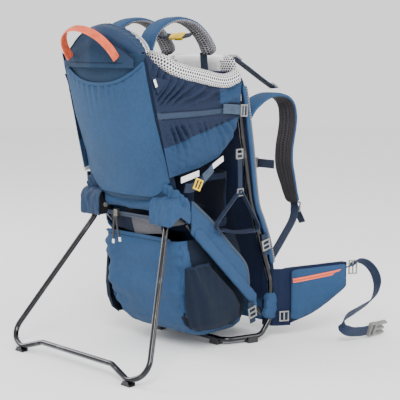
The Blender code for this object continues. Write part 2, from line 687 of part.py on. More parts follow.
def rounded_box_ring(z, half, rear, front, radius, steps=3):
    """A rounded rectangle in plan at one height."""
    ring = []
    for cx, cy, start in ((half, front, 0), (-half, front, 1), (-half, rear, 2), (half, rear, 3)):
        cx -= radius if cx > 0 else -radius
        cy -= radius if cy == front else -radius
        for step in range(steps + 1):
            angle = (start + step / steps) * pi / 2
            ring.append(Vector((cx + radius * cos(angle), cy + radius * sin(angle), z)))
    return ring


def bucket(name, outer, inner, finish):
    """An open-topped vessel from its outer rings and its inner rings, both from the bottom up."""
    bm = bmesh.new()
    rings_to_solid(bm, [*outer, *reversed(inner)])
    return place(name, bm, finish)


def build_bag():
    """The open-topped lower bag between the struts."""
    outer = [rounded_box_ring(*row) for row in BAG_RINGS]
    inner = []
    for z, half, rear, front, radius in BAG_RINGS:
        lift = BAG_WALL if z == BAG_RINGS[0][0] else 0.0
        inner.append(rounded_box_ring(z + lift, half - BAG_WALL, rear + BAG_WALL, front - BAG_WALL, radius - BAG_WALL))
    bucket("lower_bag", outer, inner, BLUE)


def build_sides():
    """Side panels over the struts, mesh pockets, hinge covers and stirrups."""
    for name, side in SIDES.items():
        side_panel(f"side_panel_{name}", side)
        side_pocket(f"side_pocket_{name}", side)
        hinge_cover(f"hinge_cover_{name}", side)
        stirrup(f"stirrup_{name}", side)


def side_panel(name, side):
    """The outer panel above the strut, with its lower edge padded over the strut."""
    top = SIDE_PANEL_TOP
    rear, front = top[0][0], 0.070
    low = [(front, strut_at(front)[1] - BAND_HALF), (rear, strut_at(rear)[1] - BAND_HALF)]
    front_top = (front, strut_at(front)[1] + BAND_HALF)
    slope = (STRUT_FOOT[0] - STRUT_TOP[0]) / (STRUT_FOOT[1] - STRUT_TOP[1])
    inner = STRUT_TOP[0] + STRUT_R + EASE
    return prism(
        name, [*top, front_top, *low], inner, inner + SIDE_PANEL_THICK, BLUE, side, slope, STRUT_TOP[1]
    )


def side_pocket(name, side):
    """An open-topped mesh pocket on the bag's side."""
    inside = max(row[1] for row in BAG_RINGS) + EASE
    outer, inner = [], []
    for z, reach, rear, front in POCKET_RINGS:
        outer.append(pocket_ring(side, z, inside, reach, rear, front))
        lift = POCKET_WALL if z == POCKET_RINGS[0][0] else 0.0
        wall = POCKET_WALL
        inner.append(pocket_ring(side, z + lift, inside + wall, reach - 2 * wall, rear + 1.5 * wall, front - 1.5 * wall))
    return bucket(name, outer, inner, SIDE_MESH)


def pocket_ring(side, z, inside, reach, rear, front):
    """A flat side against the bag and a half-oval outside, at one height."""
    middle, half = (rear + front) / 2, (front - rear) / 2
    ring = [Vector((side * inside, rear, z)), Vector((side * inside, front, z))]
    for step in range(1, 8):
        angle = step / 8 * pi
        ring.append(Vector((side * (inside + reach * sin(angle) ** 0.7), middle + half * cos(angle), z)))
    return ring


def hinge_cover(name, side):
    """The fabric cover outside and above the hinge, open below and behind for the leg."""
    outer = KICK_TOP_HALF + BRACKET_SLOT / 2 + BRACKET_WALL
    top = HINGE_Z + BRACKET_RISE
    rear, front = HINGE_Y - COVER_REACH, HINGE_Y + BRACKET_BACK + GAP
    outline = [
        (KICK_TOP_HALF - 0.030, top + 0.001), (outer + 0.0015, top + 0.001), (outer + 0.0015, HINGE_Z - 0.038),
        (outer + COVER_OUT, HINGE_Z - 0.038), (outer + COVER_OUT, top + COVER_OUT), (KICK_TOP_HALF - 0.030, top + COVER_OUT),
    ]
    bm = bmesh.new()
    rings_to_solid(bm, [[Vector((side * x, y, z)) for x, z in outline] for y in (rear, front)])
    return place(name, bm, NAVY)


def inset_outline(outline, wall):
    """Move each point of a closed outline inwards by a wall thickness."""
    centre = Vector((sum(p[0] for p in outline), sum(p[1] for p in outline))) / len(outline)
    moved = []
    for before, here, after in zip(outline[-1:] + outline[:-1], outline, outline[1:] + outline[:1]):
        along = (Vector(after) - Vector(before)).normalized()
        normal = Vector((-along.y, along.x))
        if normal.dot(centre - Vector(here)) < 0:
            normal = -normal
        moved.append(tuple(Vector(here) + normal * wall))
    return moved


def stirrup(name, side):
    """The strap and triangular loop that hold the child's foot, hanging from a pivot at the strap's top."""
    low, high = STIRRUP_X
    outer = STIRRUP_OUTER
    inner = inset_outline(outer, STIRRUP_RIM)
    bm = bmesh.new()
    loops = []
    for outline, x in ((outer, low), (outer, high), (inner, high), (inner, low)):
        loops.append([bm.verts.new((side * x, y, z)) for y, z in outline])
    for first, second in zip(loops, loops[1:] + loops[:1]):
        for i in range(len(first)):
            j = (i + 1) % len(first)
            bm.faces.new((first[i], first[j], second[j], second[i]))
    pivot = (side * (low + high) / 2, 0.004, STIRRUP_PIVOT_Z)
    piece = place(name, bm, WEBBING, pivot)
    strap = bmesh.new()
    bottom = outer[0][1] - 0.003
    box(
        strap, (side * (low + high) / 2, 0.004, (bottom + STIRRUP_PIVOT_Z) / 2),
        (0.0035, STIRRUP_STRAP_HALF - 0.001, (STIRRUP_PIVOT_Z - bottom) / 2),
    )
    return cut(piece, hidden_cutter(f"{name}_strap", strap), "UNION")


# ---------------------------------------------------------------- wearer's straps


def build_straps():
    """Shoulder straps, load lifters, lower webbing and the chest strap."""
    for name, side in SIDES.items():
        mirror = Matrix.Diagonal((side, 1, 1))
        strap = curve_through([mirror @ Vector(point) for point in STRAP_PATH], 2)
        bevelled(band(f"shoulder_strap_{name}", strap, STRAP_SIZE[0], STRAP_SIZE[1], (1, 0, 0), BLUE), 0.0035)
        lifter = curve_through([mirror @ Vector(point) for point in LIFTER_PATH], 2)
        band(f"load_lifter_{name}", lifter, LIFTER_SIZE[0], LIFTER_SIZE[1], (1, 0, 0), WEBBING)
        web = curve_through([mirror @ Vector(point) for point in LOWER_WEB_PATH], 2)
        band(f"shoulder_webbing_{name}", web, LOWER_WEB_SIZE[0], LOWER_WEB_SIZE[1], (1, 0, 0), WEBBING)
    half = STRAP_PATH[8][0] - STRAP_SIZE[0] / 2 - EASE
    strap_buckle("chest_strap", (0, *CHEST_AT), half, CHEST_WEB, CHEST_BUCKLE, 0, WEBBING)


# ---------------------------------------------------------------- hip belt


def fin_point(side, along, out, z):
    """A point of a hip fin: distance along it, out from its outer face, and height."""
    root, tip = Vector(FIN_ROOT), Vector(FIN_TIP)
    forward = (tip - root).normalized()
    outward = Vector((forward.y, -forward.x))
    flat = root + forward * along + outward * out
    return Vector((side * flat.x, flat.y, z))


def fin_axis(side):
    """Where the fin bends at its root, in the middle of its thickness."""
    return fin_point(side, 0.0, -FIN_THICK / 2, 0.09)


def fin_slab(name, outline, low, high, finish, side, bevel):
    """An outline on the fin given a thickness."""
    bm = bmesh.new()
    rings_to_solid(bm, [[fin_point(side, s, out, z) for s, z in outline] for out in (low, high)])
    return bevelled(place(name, bm, finish, fin_axis(side)), bevel)


def build_hip_belt():
    """The fins, their zip pockets and sliders, and the belt webbing with its buckle halves."""
    for name, side in SIDES.items():
        fin_slab(f"hip_fin_{name}", FIN_OUTLINE, -FIN_THICK, 0.0, NAVY, side, 0.004)
        fin_slab(f"hip_pocket_{name}", HIP_POCKET_OUTLINE, GAP, HIP_POCKET_THICK, BLUE, side, 0.004)
        slider(f"hip_zip_slider_{name}", side)
        tail = curve_through([Vector((side * x, y, z)) for x, y, z in TAIL_PATH], 3)
        band(f"belt_webbing_{name}", tail, TAIL_SIZE[0], TAIL_SIZE[1], tail_across(side), WEBBING, fin_axis(side))
    buckle_half("belt_buckle_plug", 1, (0.55, 0.86))
    buckle_half("belt_buckle_socket", -1, (1.0, 1.0))


def tail_across(side):
    """The direction of the belt webbing's width, which leans as the webbing drops and curls."""

    def across(share):
        return Vector((side * (0.9 - 0.55 * share), -0.15, 0.35 + 0.65 * share))

    return across


def slider(name, side):
    """The zip slider at the rear end of the hip pocket's zip."""
    (start, low), (end, high) = HIP_ZIP
    rise = (high - low) / (end - start)
    bm = bmesh.new()
    length, height, depth = SLIDER_SIZE
    rings = []
    for out in (HIP_POCKET_THICK + EASE, HIP_POCKET_THICK + EASE + depth):
        ring = []
        for s, z in ((0, -height / 2), (length, -height / 2), (length, height / 2), (0, height / 2)):
            ring.append(fin_point(side, start + s, out, low + z + rise * s))
        rings.append(ring)
    rings_to_solid(bm, rings)
    return place(name, bm, BUCKLE_GREY, fin_point(side, start, HIP_POCKET_THICK, low))


def buckle_half(name, side, taper):
    """One half of the side-release buckle at the end of the belt webbing."""
    high, thick = BUCKLE_SIZE
    shares = [(0.0, 0.85, 1.0), (0.25, 1.0, 1.0), (0.62, taper[0] + 0.3, 0.9), (1.0, taper[1], 0.7)]
    bm = bmesh.new()
    rings = []
    for share, tall, deep in shares:
        y = TAIL_END.y + BUCKLE_LENGTH * share
        h, t = high * min(tall, 1.0) / 2, thick * deep / 2
        x = side * TAIL_END.x
        z = TAIL_END.z
        rings.append([Vector((x - t, y, z - h)), Vector((x + t, y, z - h)), Vector((x + t, y, z + h)), Vector((x - t, y, z + h))])
    rings_to_solid(bm, rings)
    return bevelled(place(name, bm, BUCKLE_GREY, fin_axis(side)), 0.002)


# ---------------------------------------------------------------- haul loop and bag zip


def build_trim():
    """The haul loop at the top and the slider of the lower bag's zip."""
    base, peak = Vector(LOOP_BASE), Vector(LOOP_PEAK)
    points = []
    for step in range(13):
        angle = step / 12 * pi
        rise = sin(angle) ** 0.85
        flat = base + (peak - base) * rise
        points.append(Vector((-LOOP_HALF * cos(angle), flat.x, flat.y)))
    normal = (0, -(peak - base).y, (peak - base).x)
    band("haul_loop", points, LOOP_SIZE[0], LOOP_SIZE[1], normal, ORANGE, (0, *LOOP_BASE))
    bm = bmesh.new()
    box(bm, BAG_ZIP_AT, BAG_SLIDER)
    bevelled(place("bag_zip_slider", bm, STEEL, BAG_ZIP_AT), 0.0015)


build_frame()
build_kickstand()
build_back()
build_cockpit()
build_harness()
build_bag()
build_sides()
build_straps()
build_hip_belt()
build_trim()
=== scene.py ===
"""Looks of the framed child-carrier backpack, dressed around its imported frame."""

import logging
import math
from collections.abc import Callable, Sequence
from dataclasses import dataclass, field
from enum import Enum

import bmesh
import bpy
from mathutils import Matrix, Vector, noise


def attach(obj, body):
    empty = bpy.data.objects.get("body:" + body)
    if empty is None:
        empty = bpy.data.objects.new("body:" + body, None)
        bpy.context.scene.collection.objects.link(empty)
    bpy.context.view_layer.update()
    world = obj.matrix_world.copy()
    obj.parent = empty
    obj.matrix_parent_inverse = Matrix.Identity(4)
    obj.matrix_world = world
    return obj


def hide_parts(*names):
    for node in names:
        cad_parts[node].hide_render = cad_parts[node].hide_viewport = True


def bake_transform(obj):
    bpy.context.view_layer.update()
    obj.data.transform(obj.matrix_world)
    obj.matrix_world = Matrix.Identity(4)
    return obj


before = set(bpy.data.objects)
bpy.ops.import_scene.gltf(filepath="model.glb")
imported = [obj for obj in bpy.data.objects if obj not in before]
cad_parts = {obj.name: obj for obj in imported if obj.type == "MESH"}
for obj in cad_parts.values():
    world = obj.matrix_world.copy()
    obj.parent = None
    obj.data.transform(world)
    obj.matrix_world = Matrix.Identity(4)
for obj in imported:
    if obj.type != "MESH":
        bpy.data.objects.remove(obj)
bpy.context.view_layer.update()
log = logging.getLogger("carrier")

Line = list[Vector]
Shape = Callable[[float, float], Vector]
Zone = Callable[[float, float], int]
Colour = tuple[float, float, float]
CLOTH_UV = "cloth"
SIDES: dict[str, int] = {"right": 1, "left": -1}
X_AXIS = Vector((1, 0, 0))
Y_AXIS = Vector((0, 1, 0))
Z_AXIS = Vector((0, 0, 1))
BEVEL_ANGLE = math.radians(40)
SHARP_ANGLE = math.radians(50)

# Distances between the points of a line, in metres.
WEB_STEP = 0.003
LINE_STEP = 0.004
LONG_STEP = 0.005

# Thicknesses, in metres, of the pieces that are made as a surface.
LABEL_WALL = 0.0006
CLOTH_WALL = 0.0014
THIN_WEB_WALL = 0.0018
TAPE_WALL = 0.002
WEB_WALL = 0.0022
THICK_WALL = 0.0024
DOUBLE_WEB_WALL = 0.0026
HOOD_WALL = 0.003
SMALL_LOCK_WALL = 0.0032
LOCK_WALL = 0.0034
PANEL_WALL = 0.0036

# Widths of the bevels on moulded pieces.
TIP_EDGE = 0.0004
LOCK_EDGE = 0.0006
BUCKLE_EDGE = 0.0007


class Body(Enum):
    """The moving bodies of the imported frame."""

    PACK = "pack"
    KICKSTAND = "kickstand"
    SEAT = "seat"
    HAUL_LOOP = "haul_loop"
    CHEST = "chest_strap"
    BAG_ZIP = "bag_zip_slider"


# ---------------------------------------------------------------- shader helpers


class Value:
    """A number that varies over a surface, with operators that add Math nodes."""

    def __init__(self, board: "Board", socket: bpy.types.NodeSocket) -> None:
        """Wrap one output socket of a board."""
        self.board = board
        self.socket = socket

    def _math(self, operation: str, other: "Value | float | None" = None, swap: bool = False) -> "Value":
        """Add one Math node.

        Args:
            operation: The Math node's operation.
            other: The second operand, if it takes one.
            swap: Whether the second operand comes first.

        Returns:
            The node's result.
        """
        terms: list[Value | float] = [self] if other is None else [self, other]
        if swap:
            terms.reverse()
        inputs = {i: t.socket if isinstance(t, Value) else t for i, t in enumerate(terms)}
        return Value(
            self.board, self.board.node("ShaderNodeMath", {"operation": operation}, inputs).outputs[0]
        )

    def __add__(self, other: "Value | float") -> "Value":
        """Sum."""
        return self._math("ADD", other)

    def __radd__(self, other: float) -> "Value":
        """Sum with a number first."""
        return self._math("ADD", other)

    def __sub__(self, other: "Value | float") -> "Value":
        """Difference."""
        return self._math("SUBTRACT", other)

    def __rsub__(self, other: float) -> "Value":
        """Difference from a number."""
        return self._math("SUBTRACT", other, swap=True)

    def __mul__(self, other: "Value | float") -> "Value":
        """Product."""
        return self._math("MULTIPLY", other)

    def __rmul__(self, other: float) -> "Value":
        """Product with a number first."""
        return self._math("MULTIPLY", other)

    def __truediv__(self, other: "Value | float") -> "Value":
        """Quotient."""
        return self._math("DIVIDE", other)

    def power(self, other: float) -> "Value":
        """The value raised to a power."""
        return self._math("POWER", other)

    def sine(self) -> "Value":
        """The sine of the value."""
        return self._math("SINE")

    def fraction(self) -> "Value":
        """The part after the decimal point."""
        return self._math("FRACT")

    def whole(self) -> "Value":
        """The largest whole number below the value."""
        return self._math("FLOOR")

    def size(self) -> "Value":
        """The value without its sign."""
        return self._math("ABSOLUTE")

    def modulo(self, other: float) -> "Value":
        """The remainder of a division."""
        return self._math("MODULO", other)

    def root(self) -> "Value":
        """The square root of the value."""
        return self._math("SQRT")

    def ramp(self, low: float, high: float) -> "Value":
        """A smooth step from 0 at low to 1 at high.

        Args:
            low: Where it is still 0.
            high: Where it has reached 1.

        Returns:
            The stepped value.
        """
        settings = {"interpolation_type": "SMOOTHSTEP"}
        node = self.board.node(
            "ShaderNodeMapRange", settings, {0: self.socket, 1: low, 2: high, 3: 0.0, 4: 1.0}
        )
        return Value(self.board, node.outputs[0])


class Board:
    """The node tree of one material."""

    def __init__(self, name: str) -> None:
        """Start an empty material.

        Args:
            name: The material's name.
        """
        self.material = bpy.data.materials.new(name)
        self.material.use_nodes = True
        self.tree = self.material.node_tree
        self.tree.nodes.clear()

    def node(self, kind: str, settings: dict[str, object], inputs: dict[int | str, object]) -> bpy.types.Node:
        """Add any node.

        Args:
            kind: The node's type.
            settings: Its properties, which are set first.
            inputs: Values or sockets for its inputs, by index or name.

        Returns:
            The node.
        """
        made = self.tree.nodes.new(kind)
        for key, value in settings.items():
            setattr(made, key, value)
        for key, value in inputs.items():
            if isinstance(value, bpy.types.NodeSocket):
                self.tree.links.new(value, made.inputs[key])
            else:
                made.inputs[key].default_value = value
        return made

    def place(self) -> bpy.types.NodeSocket:
        """Object coordinates."""
        return self.node("ShaderNodeTexCoord", {}, {}).outputs["Object"]

    def cloth(self) -> tuple[Value, Value]:
        """Distances along and across the cloth, in metres."""
        uv = self.node("ShaderNodeUVMap", {"uv_map": CLOTH_UV}, {}).outputs[0]
        split = self.node("ShaderNodeSeparateXYZ", {}, {0: uv})
        return Value(self, split.outputs[0]), Value(self, split.outputs[1])

    def noise(self, scale: float, detail: float = 3.0, stretch: Colour = (1.0, 1.0, 1.0)) -> Value:
        """Noise on Object coordinates, from about 0.3 to 0.7.

        Args:
            scale: Features per metre.
            detail: Octaves of finer noise.
            stretch: Scale along each axis.

        Returns:
            The noise's value.
        """
        where = self.node("ShaderNodeMapping", {}, {"Vector": self.place(), "Scale": stretch}).outputs[0]
        made = self.node("ShaderNodeTexNoise", {}, {"Vector": where, "Scale": scale, "Detail": detail})
        return Value(self, made.outputs[0])

    def mix(self, share: Value, low: object, high: object) -> bpy.types.NodeSocket:
        """Blend two colours by a share.

        Args:
            share: 0 for the first colour, 1 for the second.
            low: A colour or a socket.
            high: A colour or a socket.

        Returns:
            The blended colour's socket.
        """
        ends = [(*c, 1.0) if isinstance(c, tuple) else c for c in (low, high)]
        made = self.node("ShaderNodeMix", {"data_type": "RGBA"}, {0: share.socket, 6: ends[0], 7: ends[1]})
        return made.outputs[2]

    def close(
        self, colour: object, rough: object, height: Value | None, depth: float, **fixed: float
    ) -> bpy.types.Material:
        """Add the Principled shader, the bump and the output.

        Args:
            colour: Base colour or its socket.
            rough: Roughness or its value.
            height: What the bump follows, if anything.
            depth: The bump's distance in metres.
            fixed: Other Principled inputs, set on its own sockets.

        Returns:
            The finished material.
        """
        inputs: dict[int | str, object] = {
            "Base Color": (*colour, 1.0) if isinstance(colour, tuple) else colour
        }
        inputs["Roughness"] = rough.socket if isinstance(rough, Value) else rough
        inputs.update({key.replace("_", " "): value for key, value in fixed.items()})
        if height is not None:
            bump = self.node(
                "ShaderNodeBump", {}, {"Strength": 1.0, "Distance": depth, "Height": height.socket}
            )
            inputs["Normal"] = bump.outputs[0]
        shader = self.node("ShaderNodeBsdfPrincipled", {}, inputs)
        self.node("ShaderNodeOutputMaterial", {}, {0: shader.outputs[0]})
        return self.material


# ---------------------------------------------------------------- finishes


@dataclass(frozen=True)
class Finish:
    """What every finish has: a name, a colour and the record's slot that it stands for."""

    name: str
    colour: Colour
    slot: str

    def shade(self, board: Board) -> bpy.types.Material:
        """Fill in the board's nodes."""
        raise NotImplementedError

    def material(self) -> bpy.types.Material:
        """The finish's material, made once."""
        found = bpy.data.materials.get(f"look_{self.name}")
        return found or self.shade(Board(f"look_{self.name}"))

    def tone(self, factor: float) -> Colour:
        """The colour made darker or lighter."""
        return tuple(min(1.0, c * factor) for c in self.colour)


@dataclass(frozen=True)
class WovenCloth(Finish):
    """Plain-woven cloth with a heathered yarn, soft creases and a little sheen."""

    thread: float = 0.0011
    crease: float = 1.0
    heather: float = 0.14
    roughness: float = 0.78

    def shade(self, board: Board) -> bpy.types.Material:
        """Weave, yarn streaks, blotches and creases.

        Args:
            board: The material's node tree.

        Returns:
            The finished material.
        """
        along, across = board.cloth()
        turn = 2 * math.pi / self.thread
        weave = (along * turn).sine() * (across * turn).sine()
        streaks = board.noise(300.0, 2.0, (1.0, 1.0, 0.35))
        blotch = board.noise(9.0, 4.0)
        fold = board.noise(30.0, 3.0, (1.0, 1.0, 0.55))
        share = (weave * 0.12 + (streaks - 0.5) * 1.2 + (blotch - 0.5) * 1.2) * self.heather * 3.0 + 0.5
        colour = board.mix(share.ramp(0.0, 1.0), self.tone(0.74), self.tone(1.26))
        height = weave * 0.06 + fold * (2.4 * self.crease)
        rough = (blotch - 0.5) * 0.25 + self.roughness
        return board.close(
            colour, rough, height, 0.0016, Sheen_Weight=0.03, Sheen_Roughness=0.5, Specular_IOR_Level=0.22
        )


@dataclass(frozen=True)
class SpacerMesh(Finish):
    """Knitted spacer mesh with staggered round holes that show a second layer, darkened by painted shade."""

    # The holes' colour: the second layer, darkened by painted shade in the holes.
    shaded_hole: Colour = (0.05, 0.05, 0.055)
    pitch: float = 0.0044
    radius: float = 0.3

    def shade(self, board: Board) -> bpy.types.Material:
        """Rows of holes, every other row shifted by half a pitch.

        Args:
            board: The material's node tree.

        Returns:
            The finished material.
        """
        along, across = board.cloth()
        step = self.pitch * math.sqrt(3) / 2
        row = across / step
        shift = row.whole().modulo(2.0).size() * 0.5
        sideways = (along / self.pitch + shift).fraction() - 0.5
        upright = (row.fraction() - 0.5) * 0.866
        far = (sideways * sideways + upright * upright).root()
        solid = far.ramp(self.radius - 0.07, self.radius + 0.07)
        grain = board.noise(420.0, 2.0)
        body = board.mix(grain.ramp(0.3, 0.7), self.tone(0.82), self.tone(1.12))
        # The holes get the dark hole colour, partly the second layer and partly painted shade.
        colour = board.mix(solid, self.shaded_hole, body)
        height = solid * 1.0 + grain * 0.25
        return board.close(colour, 0.85, height, 0.0009, Sheen_Weight=0.03, Specular_IOR_Level=0.2)


@dataclass(frozen=True)
class Webbing(Finish):
    """Flat woven webbing with a herringbone and thick edges."""

    width: float = 0.02
    rib: float = 0.0021

    def shade(self, board: Board) -> bpy.types.Material:
        """Herringbone ribs that meet along the middle, and a line near each edge.

        Args:
            board: The material's node tree.

        Returns:
            The finished material.
        """
        along, across = board.cloth()
        off = (across - self.width / 2).size()
        ribs = ((along + off * 0.8) * (2 * math.pi / self.rib)).sine()
        yarn = ((off - along * 0.6) * (2 * math.pi / (self.rib * 0.55))).sine()
        edge = off.ramp(self.width * 0.4, self.width * 0.46)
        wear = board.noise(70.0, 3.0)
        share = ribs * 0.22 + yarn * 0.08 + (wear - 0.5) * 0.9 + 0.5 + edge * 0.25
        colour = board.mix(share.ramp(0.0, 1.0), self.tone(0.62), self.tone(1.42))
        return board.close(
            colour, 0.62, ribs * 0.5 + yarn * 0.2, 0.0006, Sheen_Weight=0.03, Specular_IOR_Level=0.3
        )


@dataclass(frozen=True)
class PolishedTube(Finish):
    """Dark anodised tube: polished, with faint drawing lines and scuffs, and a painted reflection that
    lightens its colour towards its edges.
    """

    def shade(self, board: Board) -> bpy.types.Material:
        """Scuffs that dull the polish a little, and a painted reflection that lightens the colour where the
        tube turns away from the camera.

        Args:
            board: The material's node tree.

        Returns:
            The finished material.
        """
        scuff = board.noise(38.0, 6.0).ramp(0.52, 0.7)
        lines = board.noise(160.0, 2.0, (1.0, 1.0, 0.1))
        # Painted reflection: the colour grows lighter towards the tube's grazing edges, mixed with the real
        # scuffs.
        facing = Value(board, board.node("ShaderNodeLayerWeight", {}, {"Blend": 0.5}).outputs["Facing"])
        painted_edge_reflection = facing.ramp(0.3, 0.75)
        colour = board.mix((scuff * 0.15 + painted_edge_reflection * 0.85), self.tone(0.7), self.tone(5.5))
        rough = scuff * 0.12 + lines * 0.05 + 0.13
        return board.close(colour, rough, lines * 0.4 + scuff * 0.2, 0.00012, Metallic=1.0)


@dataclass(frozen=True)
class MouldedPlastic(Finish):
    """Injection-moulded plastic with a fine grain and dulled edges."""

    roughness: float = 0.42
    metal: float = 0.0

    def shade(self, board: Board) -> bpy.types.Material:
        """Fine grain with faint scratches.

        Args:
            board: The material's node tree.

        Returns:
            The finished material.
        """
        grain = board.noise(900.0, 2.0)
        wear = board.noise(60.0, 5.0)
        colour = board.mix(wear.ramp(0.35, 0.68), self.tone(0.86), self.tone(1.18))
        rough = (wear - 0.5) * 0.3 + self.roughness
        return board.close(colour, rough, grain, 0.00008, Metallic=self.metal)


@dataclass(frozen=True)
class CoilZip(Finish):
    """Zip tape with a coil of teeth down its middle."""

    width: float = 0.009

    def shade(self, board: Board) -> bpy.types.Material:
        """Teeth across the middle third, ribbed tape beside them.

        Args:
            board: The material's node tree.

        Returns:
            The finished material.
        """
        along, across = board.cloth()
        off = (across - self.width / 2).size()
        coil = 1.0 - off.ramp(self.width * 0.12, self.width * 0.18)
        teeth = (along * (2 * math.pi / 0.0014)).sine() * coil
        grain = board.noise(300.0, 2.0)
        share = teeth * 0.35 + (grain - 0.5) * 0.8 + 0.5 - coil * 0.15
        colour = board.mix(share.ramp(0.0, 1.0), self.tone(0.72), self.tone(1.2))
        return board.close(colour, 0.55, teeth * 0.6 + coil * 0.8, 0.0007)


@dataclass(frozen=True)
class StudioPaper(Finish):
    """The pale seamless floor."""

    def shade(self, board: Board) -> bpy.types.Material:
        """Nearly even, with a breath of tone."""
        tone = board.noise(0.7, 2.0)
        return board.close(board.mix(tone, self.tone(0.98), self.tone(1.0)), 0.9, None, 0.0)


SKY_BLUE: Colour = (0.018, 0.054, 0.125)
DEEP_NAVY: Colour = (0.0022, 0.0082, 0.034)
BLUE_CLOTH = WovenCloth("blue_cloth", SKY_BLUE, "blue_fabric")
POCKET_CLOTH = WovenCloth("pocket_cloth", (0.02, 0.058, 0.13), "blue_fabric", crease=0.35, heather=0.2)
FLAP_CLOTH = WovenCloth("flap_cloth", (0.01, 0.031, 0.068), "navy_fabric", crease=0.6)
CAP_CLOTH = WovenCloth("cap_cloth", (0.0085, 0.027, 0.068), "navy_fabric", crease=1.2, roughness=0.55)
# The blue cloth made darker as painted shade in the wing's gathers.
GATHERED_BLUE_PAINTED_SHADE = WovenCloth("gathered_blue_painted_shade", (0.013, 0.04, 0.094), "blue_fabric", crease=1.4)
BAND_TAPE = WovenCloth("band_tape", (0.026, 0.042, 0.074), "navy_fabric", crease=0.3)
NAVY_CLOTH = WovenCloth("navy_cloth", DEEP_NAVY, "navy_fabric", crease=1.0)
INNER_CLOTH = WovenCloth("inner_cloth", (0.0011, 0.0058, 0.023), "navy_fabric", crease=0.8)
WALL_CLOTH = WovenCloth("wall_cloth", (0.0038, 0.0115, 0.036), "navy_fabric", crease=1.3, roughness=0.6)
BINDING = WovenCloth("binding_tape", (0.003, 0.009, 0.028), "navy_fabric", crease=0.2)
HEM_TAPE = WovenCloth("hem_tape", (0.036, 0.054, 0.085), "blue_fabric", crease=0.3)
RIM_MESH = SpacerMesh(
    "rim_mesh", (0.88, 0.86, 0.86), "light_mesh", shaded_hole=(0.045, 0.042, 0.055), pitch=0.0058, radius=0.36
)
PAD_KNIT = WovenCloth("pad_knit", (0.97, 0.96, 0.96), "light_mesh", crease=0.7, heather=0.05)
LINING_MESH = SpacerMesh(
    "lining_mesh", (0.04, 0.036, 0.04), "grey_mesh", shaded_hole=(0.003, 0.003, 0.004), pitch=0.0056
)
ARCH_MESH = SpacerMesh(
    "arch_mesh", (0.3, 0.29, 0.31), "grey_mesh", shaded_hole=(0.03, 0.028, 0.035), pitch=0.0056, radius=0.33
)
SIDE_NET = SpacerMesh(
    "side_net", (0.0042, 0.012, 0.03), "side_mesh", shaded_hole=(0.0007, 0.0018, 0.005), pitch=0.0026, radius=0.27
)
GUSSET_NET = SpacerMesh(
    "gusset_net", (0.13, 0.13, 0.145), "side_mesh", shaded_hole=(0.02, 0.02, 0.03), pitch=0.0026, radius=0.24
)
NAVY_WEBBING = Webbing("navy_webbing", (0.0055, 0.015, 0.042), "navy_webbing")
GREY_WEBBING = Webbing("grey_webbing", (0.045, 0.075, 0.12), "navy_webbing")
BELT_WEBBING = Webbing("belt_webbing", (0.007, 0.019, 0.055), "navy_webbing", width=0.025, rib=0.0026)
CORAL_WEBBING = Webbing("coral_webbing", (0.8, 0.115, 0.042), "orange_webbing", width=0.018)
CORAL_ZIP = CoilZip("coral_zip", (0.8, 0.12, 0.045), "orange_webbing")
DARK_ZIP = CoilZip("dark_zip", (0.02, 0.032, 0.06), "navy_webbing")
TUBE = PolishedTube("anodised_tube", (0.058, 0.058, 0.062), "anodised_tube")
BLACK_PLASTIC = MouldedPlastic("black_plastic", (0.012, 0.012, 0.014), "black_plastic")
SILVER = MouldedPlastic("silver_plastic", (0.24, 0.24, 0.23), "buckle_grey", roughness=0.32, metal=0.35)
BUCKLE_GREY = MouldedPlastic("buckle_grey", (0.16, 0.16, 0.155), "buckle_grey")
YELLOW = MouldedPlastic("yellow_plastic", (0.72, 0.47, 0.0005), "yellow_plastic", roughness=0.35)
DARK_METAL = MouldedPlastic("dark_metal", (0.16, 0.15, 0.13), "steel", roughness=0.28, metal=0.9)
LABEL = WovenCloth("blank_label", (0.85, 0.85, 0.85), "light_mesh", crease=0.1, heather=0.05)
PAPER = StudioPaper("studio_paper", (0.92, 0.92, 0.92), "light_mesh")


# ---------------------------------------------------------------- lines and shapes


def between(table: Sequence[tuple[float, float]], at: float) -> float:
    """Read a table of (key, value) rows at a key, with straight lines between rows.

    Args:
        table: Rows in rising order of key.
        at: The key to read.

    Returns:
        The value there.
    """
    if at <= table[0][0]:
        return table[0][1]
    for (low, first), (high, second) in zip(table, table[1:]):
        if at <= high:
            return first + (second - first) * (at - low) / (high - low)
    return table[-1][1]


def smooth_line(points: Sequence[Sequence[float]], steps: int = 6) -> Line:
    """A smooth line through all the points.

    Args:
        points: What the line passes through.
        steps: How many pieces each stretch is cut into.

    Returns:
        The line's points.
    """
    nodes = [Vector(p) for p in points]
    nodes = [2 * nodes[0] - nodes[1], *nodes, 2 * nodes[-1] - nodes[-2]]
    line: Line = []
    for a, b, c, d in zip(nodes, nodes[1:], nodes[2:], nodes[3:]):
        for step in range(steps):
            t = step / steps
            bend = 2 * b + (c - a) * t + (2 * a - 5 * b + 4 * c - d) * t * t + (3 * b - a - 3 * c + d) * t**3
            line.append(bend * 0.5)
    line.append(nodes[-2])
    return line


def rounded_line(points: Sequence[Sequence[float]], radius: float, steps: int = 8) -> Line:
    """A line through points with each inner corner turned into an arc.

    Args:
        points: The corners.
        radius: The arcs' radius in metres.
        steps: Pieces per arc.

    Returns:
        The line's points.
    """
    line: Line = [Vector(points[0])]
    for before, corner, after in zip(points, points[1:], points[2:]):
        inward = (Vector(before) - Vector(corner)).normalized()
        outward = (Vector(after) - Vector(corner)).normalized()
        half = inward.angle(outward) / 2
        if half > math.radians(88):
            line.append(Vector(corner))
            continue
        centre = Vector(corner) + (inward + outward).normalized() * (radius / math.sin(half))
        start = Vector(corner) + inward * (radius / math.tan(half)) - centre
        end = Vector(corner) + outward * (radius / math.tan(half)) - centre
        turn = start.angle(end)
        for step in range(steps + 1):
            share = step / steps
            line.append(
                centre + (
                    start * math.sin((1 - share) * turn) + end * math.sin(share * turn)
                ) / math.sin(turn)
            )
    line.append(Vector(points[-1]))
    return line


